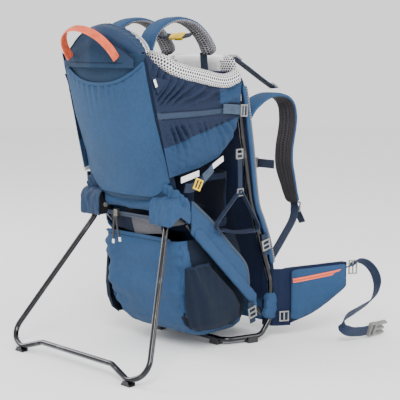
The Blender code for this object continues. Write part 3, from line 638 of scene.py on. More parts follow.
def spaced(line: Line, step: float = LINE_STEP) -> Line:
    """The same line with points an even distance apart.

    Args:
        line: The line.
        step: The distance between points, in metres.

    Returns:
        The evenly spaced line.
    """
    lengths = [0.0]
    for a, b in zip(line, line[1:]):
        lengths.append(lengths[-1] + (b - a).length)
    count = max(4, round(lengths[-1] / step))
    result: Line = []
    at = 0
    for i in range(count + 1):
        want = lengths[-1] * i / count
        while at < len(line) - 2 and lengths[at + 1] < want:
            at += 1
        span = max(1e-9, lengths[at + 1] - lengths[at])
        result.append(line[at].lerp(line[at + 1], min(1.0, (want - lengths[at]) / span)))
    return result


def length_of(line: Line) -> float:
    """The length of a line."""
    return sum((b - a).length for a, b in zip(line, line[1:]))


def mirrored(points: Sequence[Sequence[float]], side: int) -> list[Vector]:
    """The points on the given side of the plane of symmetry."""
    return [Vector((side * p[0], p[1], p[2])) for p in points]


def ripple(seed: float, *at: float) -> float:
    """Smooth noise between about -1 and 1 that is the same each run."""
    padded_at = [*at, 0.0, 0.0][:3]
    return noise.noise(Vector(padded_at) + Vector((seed, seed * 1.7, seed * 0.3)))


def even_line(points: Sequence[tuple[float, ...] | Vector], step: float = LINE_STEP) -> Line:
    """A smooth line through points, with its own points an even distance apart.

    Args:
        points: What the line runs through.
        step: The distance between the line's points, in metres.

    Returns:
        The evenly spaced line.
    """
    return spaced(smooth_line(points), step)


def curved_grid(
    columns: int, rows: int, shape: Shape, span: tuple[float, float], zone: Zone | None = None
) -> bmesh.types.BMesh:
    """A grid moved onto a curved surface, with its cloth coordinates in metres.

    Args:
        columns: Faces along u.
        rows: Faces along v.
        shape: Gives the place of (u, v), each from 0 to 1.
        span: The cloth's size along u and v.
        zone: Gives the index of the finish at (u, v).

    Returns:
        The grid.
    """
    bm = bmesh.new()
    bmesh.ops.create_grid(bm, x_segments=columns, y_segments=rows, size=0.5)
    cloth = bm.loops.layers.uv.new(CLOTH_UV)
    for face in bm.faces:
        centre = face.calc_center_median()
        if zone:
            face.material_index = zone(centre.x + 0.5, centre.y + 0.5)
        for loop in face.loops:
            loop[cloth].uv = ((loop.vert.co.x + 0.5) * span[0], (loop.vert.co.y + 0.5) * span[1])
    for vert in bm.verts:
        vert.co = shape(vert.co.x + 0.5, vert.co.y + 0.5)
    return bm


def closed_sleeve(bm: bmesh.types.BMesh) -> bmesh.types.BMesh:
    """Join a grid whose v goes all the way round, and close its two ends.

    Args:
        bm: The grid.

    Returns:
        The same bmesh, closed and facing outwards.
    """
    bmesh.ops.remove_doubles(bm, verts=bm.verts, dist=1e-6)
    edges = [edge for edge in bm.edges if edge.is_boundary]
    if edges:
        bmesh.ops.holes_fill(bm, edges=edges, sides=0)
    bmesh.ops.recalc_face_normals(bm, faces=bm.faces)
    return bm


def line_frames(line: Line, across: Callable[[float], Vector]) -> list[tuple[Vector, Vector, Vector]]:
    """The place, width direction and thickness direction at each point of a strap.

    Args:
        line: The strap's middle.
        across: The wanted width direction at a share of the length.

    Returns:
        One (place, width, thickness) for each point.
    """
    frames = []
    for i, point in enumerate(line):
        ahead = line[min(i + 1, len(line) - 1)] - line[max(i - 1, 0)]
        wide = across(i / (len(line) - 1))
        wide = (wide - ahead * wide.dot(ahead) / ahead.length_squared).normalized()
        frames.append((point, wide, ahead.cross(wide).normalized()))
    return frames


def strap(
    line: Line, width: float, across: Callable[[float], Vector] | Vector, rows: int = 4, cup: float = 0.0
) -> bmesh.types.BMesh:
    """Flat webbing along a line, without its thickness.

    Args:
        line: The webbing's middle, evenly spaced.
        width: Its width in metres.
        across: The width direction, or a function of the share along the line.
        rows: Faces across.
        cup: How far the middle stands above the edges.

    Returns:
        The strip.
    """
    toward = across if callable(across) else (lambda _: Vector(across))
    frames = line_frames(line, toward)
    last = len(line) - 1

    def shape(u: float, v: float) -> Vector:
        """A point of the strip."""
        point, wide, thick = frames[round(u * last)]
        return point + wide * (v - 0.5) * width + thick * cup * (1 - (2 * v - 1) ** 2)

    return curved_grid(last, rows, shape, (length_of(line), width))


def padded_band(
    line: Line,
    size: Callable[[float], tuple[float, float]] | tuple[float, float],
    across: Callable[[float], Vector] | Vector,
    zone: Zone | None = None,
    around: int = 20,
    power: float = 0.62,
    ends: float = 0.012,
    rough: Callable[[float, float], float] | None = None,
) -> bmesh.types.BMesh:
    """A stuffed band along a line, with rounded ends.

    Args:
        line: The band's middle, evenly spaced.
        size: Width and thickness, or a function of the share along the line.
        across: The width direction, or a function of the share.
        zone: The finish index at (share along, share around).
        around: Faces around the section.
        power: How boxy the section is; 1 is an ellipse.
        ends: The length over which each end rounds off.
        rough: Extra distance outwards at (share along, share around).

    Returns:
        The closed band.
    """
    toward = across if callable(across) else (lambda _: Vector(across))
    extent = size if callable(size) else (lambda _: size)
    frames = line_frames(line, toward)
    last = len(line) - 1
    total = length_of(line)

    def shape(u: float, v: float) -> Vector:
        """A point of the band's skin."""
        point, wide, thick = frames[round(u * last)]
        width, depth = extent(u)
        near = min(u, 1 - u) * total
        close = math.sqrt(max(0.0, 1 - (1 - min(1.0, near / ends)) ** 2)) * 0.85 + 0.15
        c, s = math.cos(2 * math.pi * v), math.sin(2 * math.pi * v)
        x = math.copysign(abs(c) ** power, c) * width / 2
        y = math.copysign(abs(s) ** power, s) * depth / 2
        extra = rough(u, v % 1.0) if rough else 0.0
        lift = wide * c + thick * s
        return point + (wide * x + thick * y) * close + lift * extra

    around_length = 2 * sum(extent(0.5))
    return closed_sleeve(curved_grid(last, around, shape, (total, around_length), zone))


def tube_along(line: Line, radius: float, sides: int = 20) -> bmesh.types.BMesh:
    """A round tube along a line, with closed ends.

    Args:
        line: The tube's middle.
        radius: Its radius in metres.
        sides: Faces around it.

    Returns:
        The closed tube.
    """
    side = Z_AXIS.cross(line[1] - line[0])
    side = side if side.length > 1e-6 else X_AXIS
    rings: list[tuple[Vector, Vector, Vector]] = []
    for i, point in enumerate(line):
        along = (line[min(i + 1, len(line) - 1)] - line[max(i - 1, 0)]).normalized()
        side = (side - along * side.dot(along)).normalized()
        rings.append((point, side, along.cross(side)))
    last = len(line) - 1

    def shape(u: float, v: float) -> Vector:
        """A point of the tube's wall."""
        point, first, second = rings[round(u * last)]
        angle = 2 * math.pi * v
        return point + (first * math.cos(angle) + second * math.sin(angle)) * radius

    return closed_sleeve(curved_grid(last, sides, shape, (length_of(line), 2 * math.pi * radius)))


def soft_block(
    centre: Sequence[float], half: Sequence[float], turn: Matrix, cuts: int = 9, corner: float = 0.35,
    crown: float = 0.35,
) -> bmesh.types.BMesh:
    """A stuffed block whose faces bulge and whose corners pull in.

    Args:
        centre: Its middle.
        half: Half its size along its own X, Y and Z.
        turn: Its rotation.
        cuts: Cuts per edge.
        corner: How far corners are rounded, from 0 to 1.
        crown: How much the thickness falls towards the edges, from 0 to 1.

    Returns:
        The block.
    """
    bm = bmesh.new()
    bmesh.ops.create_cube(bm, size=2.0)
    bmesh.ops.subdivide_edges(bm, edges=bm.edges, cuts=cuts, use_grid_fill=True)
    thin = min(range(3), key=lambda k: half[k])
    for vert in bm.verts:
        c = vert.co.copy()
        ball = Vector((
            c.x * math.sqrt(max(0.0, 1 - c.y**2 / 2 - c.z**2 / 2 + c.y**2 * c.z**2 / 3)),
            c.y * math.sqrt(max(0.0, 1 - c.z**2 / 2 - c.x**2 / 2 + c.z**2 * c.x**2 / 3)),
            c.z * math.sqrt(max(0.0, 1 - c.x**2 / 2 - c.y**2 / 2 + c.x**2 * c.y**2 / 3)),
        ))
        shaped = c.lerp(ball, corner)
        fall = 1.0
        for k in range(3):
            if k != thin:
                fall *= 1 - crown * abs(c[k]) ** 3
        shaped[thin] *= fall
        vert.co = Vector(centre) + turn @ Vector((shaped.x * half[0], shaped.y * half[1], shaped.z * half[2]))
    return bm


def ladder_lock(
    centre: Sequence[float], along: Vector, across: Vector, size: tuple[float, float], bars: int = 1
) -> bmesh.types.BMesh:
    """A webbing buckle: a flat frame with one or more cross bars.

    Args:
        centre: Its middle.
        along: The webbing's direction.
        across: The webbing's width direction.
        size: Its size across and along, in metres.
        bars: How many inner bars it has.

    Returns:
        The buckle.
    """
    wide, tall = size
    rim = tall * 0.135
    columns = [-wide / 2, -wide / 2 + rim, wide / 2 - rim, wide / 2]
    gap = (tall - rim * (bars + 2)) / (bars + 1)
    rows = [-tall / 2]
    for _ in range(bars + 1):
        rows += [rows[-1] + rim, rows[-1] + rim + gap]
    rows.append(tall / 2)
    bm = bmesh.new()
    bmesh.ops.create_grid(bm, x_segments=3, y_segments=len(rows) - 1, size=0.5)
    holes = []
    for face in bm.faces:
        middle = face.calc_center_median()
        if abs(middle.x) < 0.1 and round((middle.y + 0.5) * (len(rows) - 1) - 0.5) % 2 == 1:
            holes.append(face)
    bmesh.ops.delete(bm, geom=holes, context="FACES")
    right = across.normalized()
    up = (along - right * along.dot(right)).normalized()
    for vert in bm.verts:
        column = columns[round((vert.co.x + 0.5) * 3)]
        row = rows[round((vert.co.y + 0.5) * (len(rows) - 1))]
        vert.co = Vector(centre) + right * column + up * row
    return bm


def side_release(
    middle: Vector, along: Vector, across: Vector, size: tuple[float, float, float], plug: bool
) -> bmesh.types.BMesh:
    """One half of a side-release buckle, its webbing bar behind it.

    Args:
        middle: Its middle.
        along: The direction from its webbing bar to its tip.
        across: Its width direction.
        size: Its width, length and thickness.
        plug: Whether it is the half with the two prongs.

    Returns:
        The half, as one bmesh of touching blocks.
    """
    wide, long, thick = size
    ahead = along.normalized()
    right = (across - ahead * across.dot(ahead)).normalized()
    turn = Matrix((right, ahead, right.cross(ahead))).transposed()
    blocks = [
        ((0.0, -0.4), (0.5, 0.045)), ((0.0, -0.14), (0.5, 0.06)), ((-0.45, -0.27), (0.05, 0.13)),
        ((0.45, -0.27), (0.05, 0.13)),
    ]
    if plug:
        blocks += [((-0.38, 0.18), (0.085, 0.3)), ((0.38, 0.18), (0.085, 0.3)), ((0.0, 0.14), (0.09, 0.26))]
    else:
        blocks += [((0.0, 0.16), (0.43, 0.27)), ((0.0, 0.4), (0.5, 0.055))]
    whole = bmesh.new()
    for (x, y), (half_x, half_y) in blocks:
        place = middle + right * (x * wide) + ahead * (y * long)
        block = soft_block(
            place, (half_x * wide, half_y * long, thick / 2), turn, cuts=5, corner=0.2, crown=0.06
        )
        part = bpy.data.meshes.new("block")
        block.to_mesh(part)
        block.free()
        whole.from_mesh(part)
        bpy.data.meshes.remove(part)
    return whole


# ---------------------------------------------------------------- finished pieces


def cloth_coordinates(mesh: bpy.types.Mesh) -> None:
    """Give a mesh cloth coordinates in metres, from the plane that each face is nearest to.

    Args:
        mesh: The mesh, which has none yet.
    """
    layer = mesh.uv_layers.new(name=CLOTH_UV)
    for face in mesh.polygons:
        normal = face.normal
        axis = max(range(3), key=lambda k: abs(normal[k]))
        first, second = [(1, 2), (0, 2), (0, 1)][axis]
        for index in face.loop_indices:
            place = mesh.vertices[mesh.loops[index].vertex_index].co
            layer.data[index].uv = (place[first], place[second])


@dataclass
class Kit:
    """Where finished pieces are put, with how each is finished."""

    made: list[bpy.types.Object] = field(default_factory=list)

    def add(
        self,
        name: str,
        bm: bmesh.types.BMesh,
        finishes: Finish | Sequence[Finish],
        body: Body | str,
        replaces: Sequence[str] = (),
        wall: float = 0.0,
        edge: float = 0.0,
        rounds: int = 0,
    ) -> bpy.types.Object:
        """Finish a bmesh as a piece of the carrier.

        Args:
            name: The piece's name.
            bm: Its shape.
            finishes: Its finishes, in the order of its zones.
            body: The body that it moves with.
            replaces: The frame's nodes that it stands for.
            wall: Thickness added around the surface.
            edge: Width of the bevel on sharp edges.
            rounds: Levels of subdivision.

        Returns:
            The piece.
        """
        chosen = [finishes] if isinstance(finishes, Finish) else list(finishes)
        mesh = bpy.data.meshes.new(name)
        bm.to_mesh(mesh)
        bm.free()
        for finish in chosen:
            mesh.materials.append(finish.material())
        piece = bpy.data.objects.new(name, mesh)
        bpy.context.scene.collection.objects.link(piece)
        if wall:
            shell = piece.modifiers.new("wall", "SOLIDIFY")
            shell.thickness = wall
            shell.offset = 0.0
            shell.use_even_offset = True
        if edge:
            bevel = piece.modifiers.new("edge", "BEVEL")
            bevel.width = edge
            bevel.segments = 2
            bevel.limit_method = "ANGLE"
            bevel.angle_limit = BEVEL_ANGLE
        if rounds:
            round_off = piece.modifiers.new("rounds", "SUBSURF")
            round_off.levels = rounds
            round_off.render_levels = rounds
        self.settle(piece)
        piece.data.shade_smooth()
        piece.data.set_sharp_from_angle(angle=SHARP_ANGLE)
        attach(piece, body.value if isinstance(body, Body) else body)
        if replaces:
            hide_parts(*replaces)
        self.made.append(piece)
        log.info("%s: %d faces", name, len(piece.data.polygons))
        return piece

    def settle(self, piece: bpy.types.Object) -> None:
        """Turn a piece's modifiers into its mesh, and give it cloth coordinates if it has none.

        Args:
            piece: The piece.
        """
        view = bpy.context.evaluated_depsgraph_get()
        final = bpy.data.meshes.new_from_object(piece.evaluated_get(view))
        piece.modifiers.clear()
        piece.data = final
        if CLOTH_UV not in final.uv_layers:
            cloth_coordinates(final)

    def redress(self, node: str, finish: Finish) -> None:
        """Give a node of the frame a better material.

        Args:
            node: The node's name.
            finish: Its finish.
        """
        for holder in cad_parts[node].material_slots:
            holder.material = finish.material()


# ---------------------------------------------------------------- the tube frame


@dataclass
class TubeFrame:
    """Back frame, kickstand, struts and rear crossbar, bent from polished tube."""

    kit: Kit
    tube: float = 0.006
    strut: float = 0.005
    top: float = 0.578
    hinge_y: float = -0.16
    hinge_z: float = 0.31
    lean: float = math.radians(30.5)
    back_profile: tuple[tuple[float, float], ...] = (
        (0.03, 0.139), (0.06, 0.137), (0.138, 0.133), (0.185, 0.123), (0.229, 0.109),
        (0.275, 0.089), (0.319, 0.07), (0.431, 0.053), (0.529, 0.036), (0.6, 0.02),
    )

    def back_y(self, z: float) -> float:
        """The wearer's side of the back panel at a height."""
        return between(self.back_profile, z)

    def tube_y(self, z: float) -> float:
        """The tube's middle behind the back panel at a height."""
        return self.back_y(z) - 0.009 - 0.006 - 0.0012

    def back_line(self) -> Line:
        """The back frame's centre line, from one top end round the base to the other."""
        half = [
            (0.118, 0.0, 0.012), (0.147, 0.085, 0.012), (0.149, self.tube_y(0.07) - 0.002, 0.05),
            (0.147, self.tube_y(0.138) - 0.001, 0.135), (0.141, self.tube_y(0.319), 0.319),
            (0.138, self.tube_y(0.578), 0.578),
        ]
        whole = [(-x, y, z) for x, y, z in reversed(half)] + half
        return rounded_line(whole, 0.026)

    def leg_point(self, x: float, reach: float) -> Vector:
        """A point of the kickstand from its reach below the pivot in the legs' plane.

        Args:
            x: Distance from the middle plane.
            reach: Distance from the pivot, down the leg.

        Returns:
            The point.
        """
        return Vector(
            (x, self.hinge_y - math.sin(self.lean) * reach, self.hinge_z - math.cos(self.lean) * reach)
        )

    def kick_line(self) -> Line:
        """The kickstand's centre line, from one pivot round the foot to the other."""
        reach = (0.31 - 0.011) / math.cos(self.lean)
        half = [
            (0.113, -0.008), (0.113, 0.03), (0.22, reach - 0.019), (0.172, reach + 0.002),
            (0.112, reach - 0.02),
        ]
        right = [self.leg_point(x, r) for x, r in half]
        left = [Vector((-p.x, p.y, p.z)) for p in right]
        legs = rounded_line(right[:4], 0.034)
        foot = rounded_line([right[2].lerp(right[3], 0.7), right[3], right[4], left[4]], 0.024)
        side = legs[:-1] + [p for p in foot if p.x > 0.02]
        return side + [Vector((-p.x, p.y, p.z)) for p in reversed(side)]

    def build(self) -> None:
        """Bend all the tubes."""
        self.kit.add(
            "tube_back_frame", tube_along(self.back_line(), self.tube), TUBE, Body.PACK, ["back_frame"]
        )
        self.kit.add(
            "tube_kickstand", tube_along(self.kick_line(), self.tube), TUBE, Body.KICKSTAND,
            ["kickstand_tube"],
        )
        bar = [
            (-0.094, self.hinge_y, 0.326), (-0.04, self.hinge_y, 0.326), (0.04, self.hinge_y, 0.326),
            (0.094, self.hinge_y, 0.326),
        ]
        self.kit.add(
            "tube_crossbar", tube_along([Vector(p) for p in bar], self.strut), TUBE, Body.PACK,
            ["rear_crossbar"],
        )
        for name, side in SIDES.items():
            line = mirrored([(0.124, -0.129, 0.288), (0.132, -0.016, 0.174), (0.14, 0.096, 0.06)], side)
            self.kit.add(
                f"tube_strut_{name}", tube_along(line, self.strut), TUBE, Body.PACK, [f"strut_{name}"]
            )
            sleeve = mirrored([(0.1485, 0.108, 0.046), (0.149, 0.115, 0.072), (0.1485, 0.116, 0.106)], side)

            def rumple(u: float, v: float) -> float:
                """Loose cloth round the tube."""
                return 0.0022 * ripple(
                    2.0 + side, u * 6, math.cos(2 * math.pi * v), math.sin(2 * math.pi * v)
                )

            line = even_line(sleeve, 0.002)
            band = padded_band(line, lambda t: (0.044 - 0.012 * t, 0.017), Y_AXIS, around=28, rough=rumple)
            piece = self.kit.add(f"corner_sleeve_{name}", band, BLUE_CLOTH, Body.PACK)
            for label, y, z in (("upper", 0.089, 0.219), ("lower", 0.045, 0.074)):
                web = [Vector((side * 0.155, y - 0.2 * dz, z + dz)) for dz in (-0.024, -0.008, 0.008, 0.024)]
                self.kit.add(
                    f"side_web_{label}_{name}", strap(smooth_line(web), 0.017, Vector((0, 1, 0.2))),
                    NAVY_WEBBING, Body.PACK, wall=TAPE_WALL,
                )
                lock = ladder_lock(
                    (side * 0.1575, y, z), Vector((0, -0.2, 1)), Vector((0, 1, 0.2)), (0.025, 0.024)
                )
                self.kit.add(
                    f"side_lock_{label}_{name}", lock, SILVER, Body.PACK, wall=SMALL_LOCK_WALL, edge=LOCK_EDGE
                )
            for node in ("hinge_bracket", "kickstand_foot", "base_foot_front", "base_foot_rear"):
                self.kit.redress(f"{node}_{name}", BLACK_PLASTIC)
            self.kit.redress(f"pivot_pin_{name}", SILVER)


# ---------------------------------------------------------------- the back


@dataclass
class BackSystem:
    """Back panel, its padding, and the lumbar pad."""

    kit: Kit
    tubes: TubeFrame
    half: float = 0.148
    low: float = 0.085
    high: float = 0.6

    def panel(self) -> None:
        """The stiff panel; its padded blue border comes from edges."""
        def shape(u: float, v: float) -> Vector:
            """A point of the panel's middle surface."""
            z = self.low + (self.high - self.low) * v
            corner = 0.03
            near = min(z - self.low, self.high - z)
            reach = self.half if near >= corner else self.half - corner + math.sqrt(
                max(0.0, corner**2 - (corner - near) ** 2)
            )
            x = (2 * u - 1) * reach
            puff = 0.0012 * ripple(3.1, x * 18, z * 18)
            return Vector((x, self.tubes.back_y(z) - 0.0048 + puff, z))

        bm = curved_grid(48, 72, shape, (2 * self.half, self.high - self.low))
        bmesh.ops.remove_doubles(bm, verts=bm.verts, dist=1e-6)
        self.kit.add("back_shell", bm, NAVY_CLOTH, Body.PACK, ["back_panel"], wall=0.0082, edge=0.0015)

    def pads(self) -> None:
        """The mesh-covered back pad and lumbar pad, with pressed channels."""
        for name, node, half, low, high, thick in (
            ("back_padding", "back_pad", 0.105, 0.184, 0.56, 0.012),
            ("lumbar_padding", "lumbar_pad", 0.126, 0.03, 0.172, 0.017),
        ):
            bm = self.cushion(half, low, high, thick)
            piece = self.kit.add(name, bm, (BLUE_CLOTH, LINING_MESH), Body.PACK, [node])

    def edges(self) -> None:
        """The blue binding and the row of mesh down each side of the panel."""
        for name, side in SIDES.items():
            for label, finish, reach, step, size in (
                ("blue", BLUE_CLOTH, 0.149, -0.0055, (0.0095, 0.005)),
                ("mesh", ARCH_MESH, 0.147, 0.002, (0.008, 0.0062)),
            ):
                line = [
                    (side * reach, self.tubes.back_y(z) + step, z)
                    for z in (0.17, 0.229, 0.275, 0.319, 0.431, 0.529, 0.572)
                ]
                band = padded_band(even_line(line, LONG_STEP), size, Vector((0.2 * side, 1, 0.2)), around=12)
                self.kit.add(f"back_edge_{label}_{name}", band, finish, Body.PACK)

    def cushion(self, half: float, low: float, high: float, thick: float) -> bmesh.types.BMesh:
        """A pad against the panel, crowned and quilted.

        Args:
            half: Half its width.
            low: Its lower edge's height.
            high: Its upper edge's height.
            thick: Its thickness.

        Returns:
            The closed pad.
        """
        def shape(u: float, v: float) -> Vector:
            """A point of the pad's front."""
            z = low + (high - low) * v
            x = (2 * u - 1) * half
            edge = min(min(u, 1 - u) * 2 * half, min(v, 1 - v) * (high - low)) / 0.016
            crown = math.sqrt(1 - (1 - min(1.0, edge)) ** 2)
            channel = 0.003 * math.exp(-((abs(x) - half * 0.36) / 0.005) ** 2) * min(1.0, edge)
            return Vector((x, self.tubes.back_y(z) + 0.0003 + (thick - 0.0016) * crown - channel, z))

        def zone(u: float, v: float) -> int:
            """Border of blue cloth, mesh inside it."""
            return 1 if min(u, 1 - u) * 2 * half > 0.012 and min(v, 1 - v) * (high - low) > 0.012 else 0

        bm = curved_grid(44, 52, shape, (2 * half, high - low), zone)
        rim = [edge for edge in bm.edges if edge.is_boundary]
        spread = bmesh.ops.extrude_edge_only(bm, edges=rim)["geom"]
        for vert in spread:
            if isinstance(vert, bmesh.types.BMVert):
                vert.co.y = self.tubes.back_y(vert.co.z) - 0.0003
        bmesh.ops.holes_fill(bm, edges=[e for e in bm.edges if e.is_boundary], sides=0)
        bmesh.ops.recalc_face_normals(bm, faces=bm.faces)
        return bm

    def build(self) -> None:
        """Panel and pads."""
        self.panel()
        self.pads()
        self.edges()


# ---------------------------------------------------------------- the rear panel and cap


@dataclass
class RearPanel:
    """The upper rear panel, its stretch pocket, the flap above it and the haul loop."""

    kit: Kit
    half: float = 0.124
    sag: float = 0.025
    top: float = 0.64
    bottom: float = 0.346
    hem: float = 0.578
    profile: tuple[tuple[float, float], ...] = (
        (0.346, -0.162), (0.429, -0.185), (0.507, -0.212), (0.593, -0.234), (0.64, -0.243), (0.71, -0.258),
    )

    def y(self, x: float, z: float) -> float:
        """The rear panel's outer surface."""
        return between(self.profile, z) - self.sag * (1 - (x / self.half) ** 2)

    def panel(self) -> None:
        """The panel behind the pocket and the flap."""
        def shape(u: float, v: float) -> Vector:
            """A point of the panel."""
            x = (2 * u - 1) * self.half
            z = self.bottom + (self.top - self.bottom) * v
            low = 0.01 * (1 - (x / self.half) ** 2) * (1 - v)
            return Vector((x, self.y(x, z) + 0.0042 - 0.001 * ripple(5.0, x * 30, z * 22), z - low))

        piece = self.kit.add(
            "rear_wall", curved_grid(44, 44, shape, (0.26, 0.3)), FLAP_CLOTH, Body.PACK, ["rear_panel"],
            wall=0.006, edge=0.001,
        )

    def hem_height(self, x: float) -> float:
        """The height of the pocket's hem, which dips in the middle."""
        return self.hem + 0.045 * abs(x / 0.122) ** 2.4

    def pocket(self) -> None:
        """The stretch pocket: smooth over its fullness, gathered under the hem."""
        def shape(u: float, v: float) -> Vector:
            """A point of the pocket."""
            x = (2 * u - 1) * 0.1235
            top = self.hem_height(x)
            foot = self.bottom + 0.034 * max(0.0, (abs(x) - 0.075) / 0.0485) ** 1.6
            z = foot + (top - foot) * v
            below = top - z
            gather = 0.0016 * math.exp(-below / 0.022) * math.sin(
                x * 330 + 2.2 * ripple(7.0, x * 24)
            ) * (0.35 + math.exp(-((x / 0.06) ** 2)))
            full = 0.005 * math.sin(math.pi * min(1.0, v * 1.02)) * (1 - (x / 0.1235) ** 4)
            soft = 0.0016 * ripple(8.0, x * 16, z * 13)
            pull = 0.0012 * math.sin((z * 1.0 - abs(x) * 0.9) * 95) * math.exp(-v / 0.22)
            return Vector((x, self.y(x, z) - 0.0022 - full - gather - soft - pull, z))

        size = (0.252, 0.245)
        piece = self.kit.add(
            "stretch_pocket", curved_grid(120, 96, shape, size), POCKET_CLOTH, Body.PACK, ["rear_pocket"],
            wall=CLOTH_WALL,
        )
        line = [Vector((x / 60 * 0.1235, 0, 0)) for x in range(-60, 61)]
        for point in line:
            point.z = self.hem_height(point.x)
            point.y = self.y(point.x, point.z) - 0.0036
        band = padded_band(spaced(line), (0.007, 0.0026), Vector((0, 0.15, 1)), around=12)
        self.kit.add("pocket_hem", band, POCKET_CLOTH, Body.PACK)

    def flap(self) -> None:
        """The pointed flap that rises over the cap, its piping and its stitched line."""
        def arch(x: float) -> float:
            """The flap's upper edge."""
            return 0.63 + 0.057 * (1 - (abs(x) / 0.106) ** 1.35)

        def rear(x: float, z: float) -> float:
            """A little behind the cap."""
            return -0.2775 + 0.026 * math.hypot(x, 0.004) / 0.118 + 5.5 * max(0.0, z - 0.65) ** 2

        def shape(u: float, v: float) -> Vector:
            """A point of the flap."""
            x = (2 * u - 1) * 0.105
            z = 0.612 + (arch(x) - 0.612) * v
            wave = 0.0007 * ripple(9.0, x * 22, z * 22)
            return Vector((x, min(rear(x, z), self.y(x, z) + 0.0005) + wave, z))

        bm = curved_grid(60, 24, shape, (0.21, 0.06))
        self.kit.add("cap_flap", bm, FLAP_CLOTH, Body.PACK, wall=WEB_WALL)
        seam = [shape(i / 60, 1.0) + Vector((0, -0.0006, 0.0)) for i in range(61)]
        self.kit.add("flap_piping", tube_along(spaced(seam), 0.0018, 10), BINDING, Body.PACK)
        stitches = [Vector((x / 50 * 0.08, 0.0, 0.6215)) for x in range(-50, 51)]
        for point in stitches:
            point.y = min(rear(point.x, point.z), self.y(point.x, point.z) + 0.0005) - 0.0014
        self.kit.add("flap_stitching", tube_along(spaced(stitches, LONG_STEP), 0.0008, 8), BINDING, Body.PACK)
        for name, side in SIDES.items():
            edge = [Vector((side * 0.1245, 0.0, 0.35 + 0.285 * i / 40)) for i in range(41)]
            for point in edge:
                point.y = self.y(point.x, point.z) + 0.003
            band = padded_band(edge, (0.012, 0.0042), Vector((side * 0.6, 0.8, 0.0)), around=12)
            self.kit.add(f"rear_binding_{name}", band, BINDING, Body.PACK)

    def loop(self) -> None:
        """The coral haul loop."""
        line = []
        for i in range(41):
            turn = math.pi * i / 40
            lift = math.sin(turn) ** 0.85
            line.append(Vector((-0.071 * math.cos(turn), -0.2685 - 0.0445 * lift, 0.63 + 0.06 * lift)))
        band = strap(spaced(line, WEB_STEP), 0.018, Vector((0.0, 0.72, 0.52)), rows=4, cup=0.0012)
        self.kit.add("carry_loop", band, CORAL_WEBBING, Body.HAUL_LOOP, ["haul_loop"], wall=TAPE_WALL)

    def build(self) -> None:
        """Everything on the upper rear panel."""
        self.panel()
        self.pocket()
        self.flap()
        self.loop()


@dataclass
class TopCap:
    """The puffy cap over the rear of the cockpit, gathered along its front edge."""

    kit: Kit
    half: float = 0.118
    base: float = 0.641
    rise: float = 0.061

    def build(self) -> None:
        """A quilted closed cushion following the frame's cap, then its front mesh strip."""
        def shape(u: float, v: float) -> Vector:
            """A point of the cap's skin, round its section."""
            x = (2 * u - 1) * self.half * 0.985
            share = abs(x) / self.half
            top = self.rise * max(0.0, 1 - share**1.8)
            rear = Vector((x, between(((0.0, -0.272), (1.0, -0.246)), share) + 0.002, self.base - 0.002))
            front = Vector((x, -0.204 - 0.026 * share**3, self.base - 0.006))
            angle = 2 * math.pi * v
            middle = (rear + front) / 2 + Vector((0, 0, top * 0.42))
            deep = (front.y - rear.y) / 2
            tall = max(0.004, top * 0.54 + 0.004)
            c, s = math.cos(angle), math.sin(angle)
            y = math.copysign(abs(c) ** 0.75, c) * deep
            z = math.copysign(abs(s) ** 0.75, s) * tall
            ruche = 0.0036 * math.sin(
                x * 480 + 2.0 * ripple(4.0, x * 30)
            ) * math.exp(-((0.45 - c) ** 2) / 0.16)
            puff = 0.003 * ripple(6.0, x * 26, v * 5)
            out = Vector((0, c, s)) * (ruche + puff)
            return middle + Vector((0, y, z)) * 0.985 + out

        bm = closed_sleeve(curved_grid(130, 40, shape, (0.24, 0.16)))
        piece = self.kit.add("puffy_cap", bm, CAP_CLOTH, Body.PACK, ["top_cap"])
        front = []
        for i in range(-40, 41):
            share = abs(i) / 40
            x = i / 40 * self.half * 0.97
            lift = self.rise * max(0.0, 1 - share**1.8)
            front.append(Vector((x, -0.2 - 0.026 * share**3 + 0.001, self.base + lift * 0.72 + 0.001)))
        edge = padded_band(spaced(front), (0.013, 0.005), Vector((0, 0.75, 0.65)), around=14)
        self.kit.add("cap_mesh_edge", edge, RIM_MESH, Body.PACK)


# ---------------------------------------------------------------- the cockpit


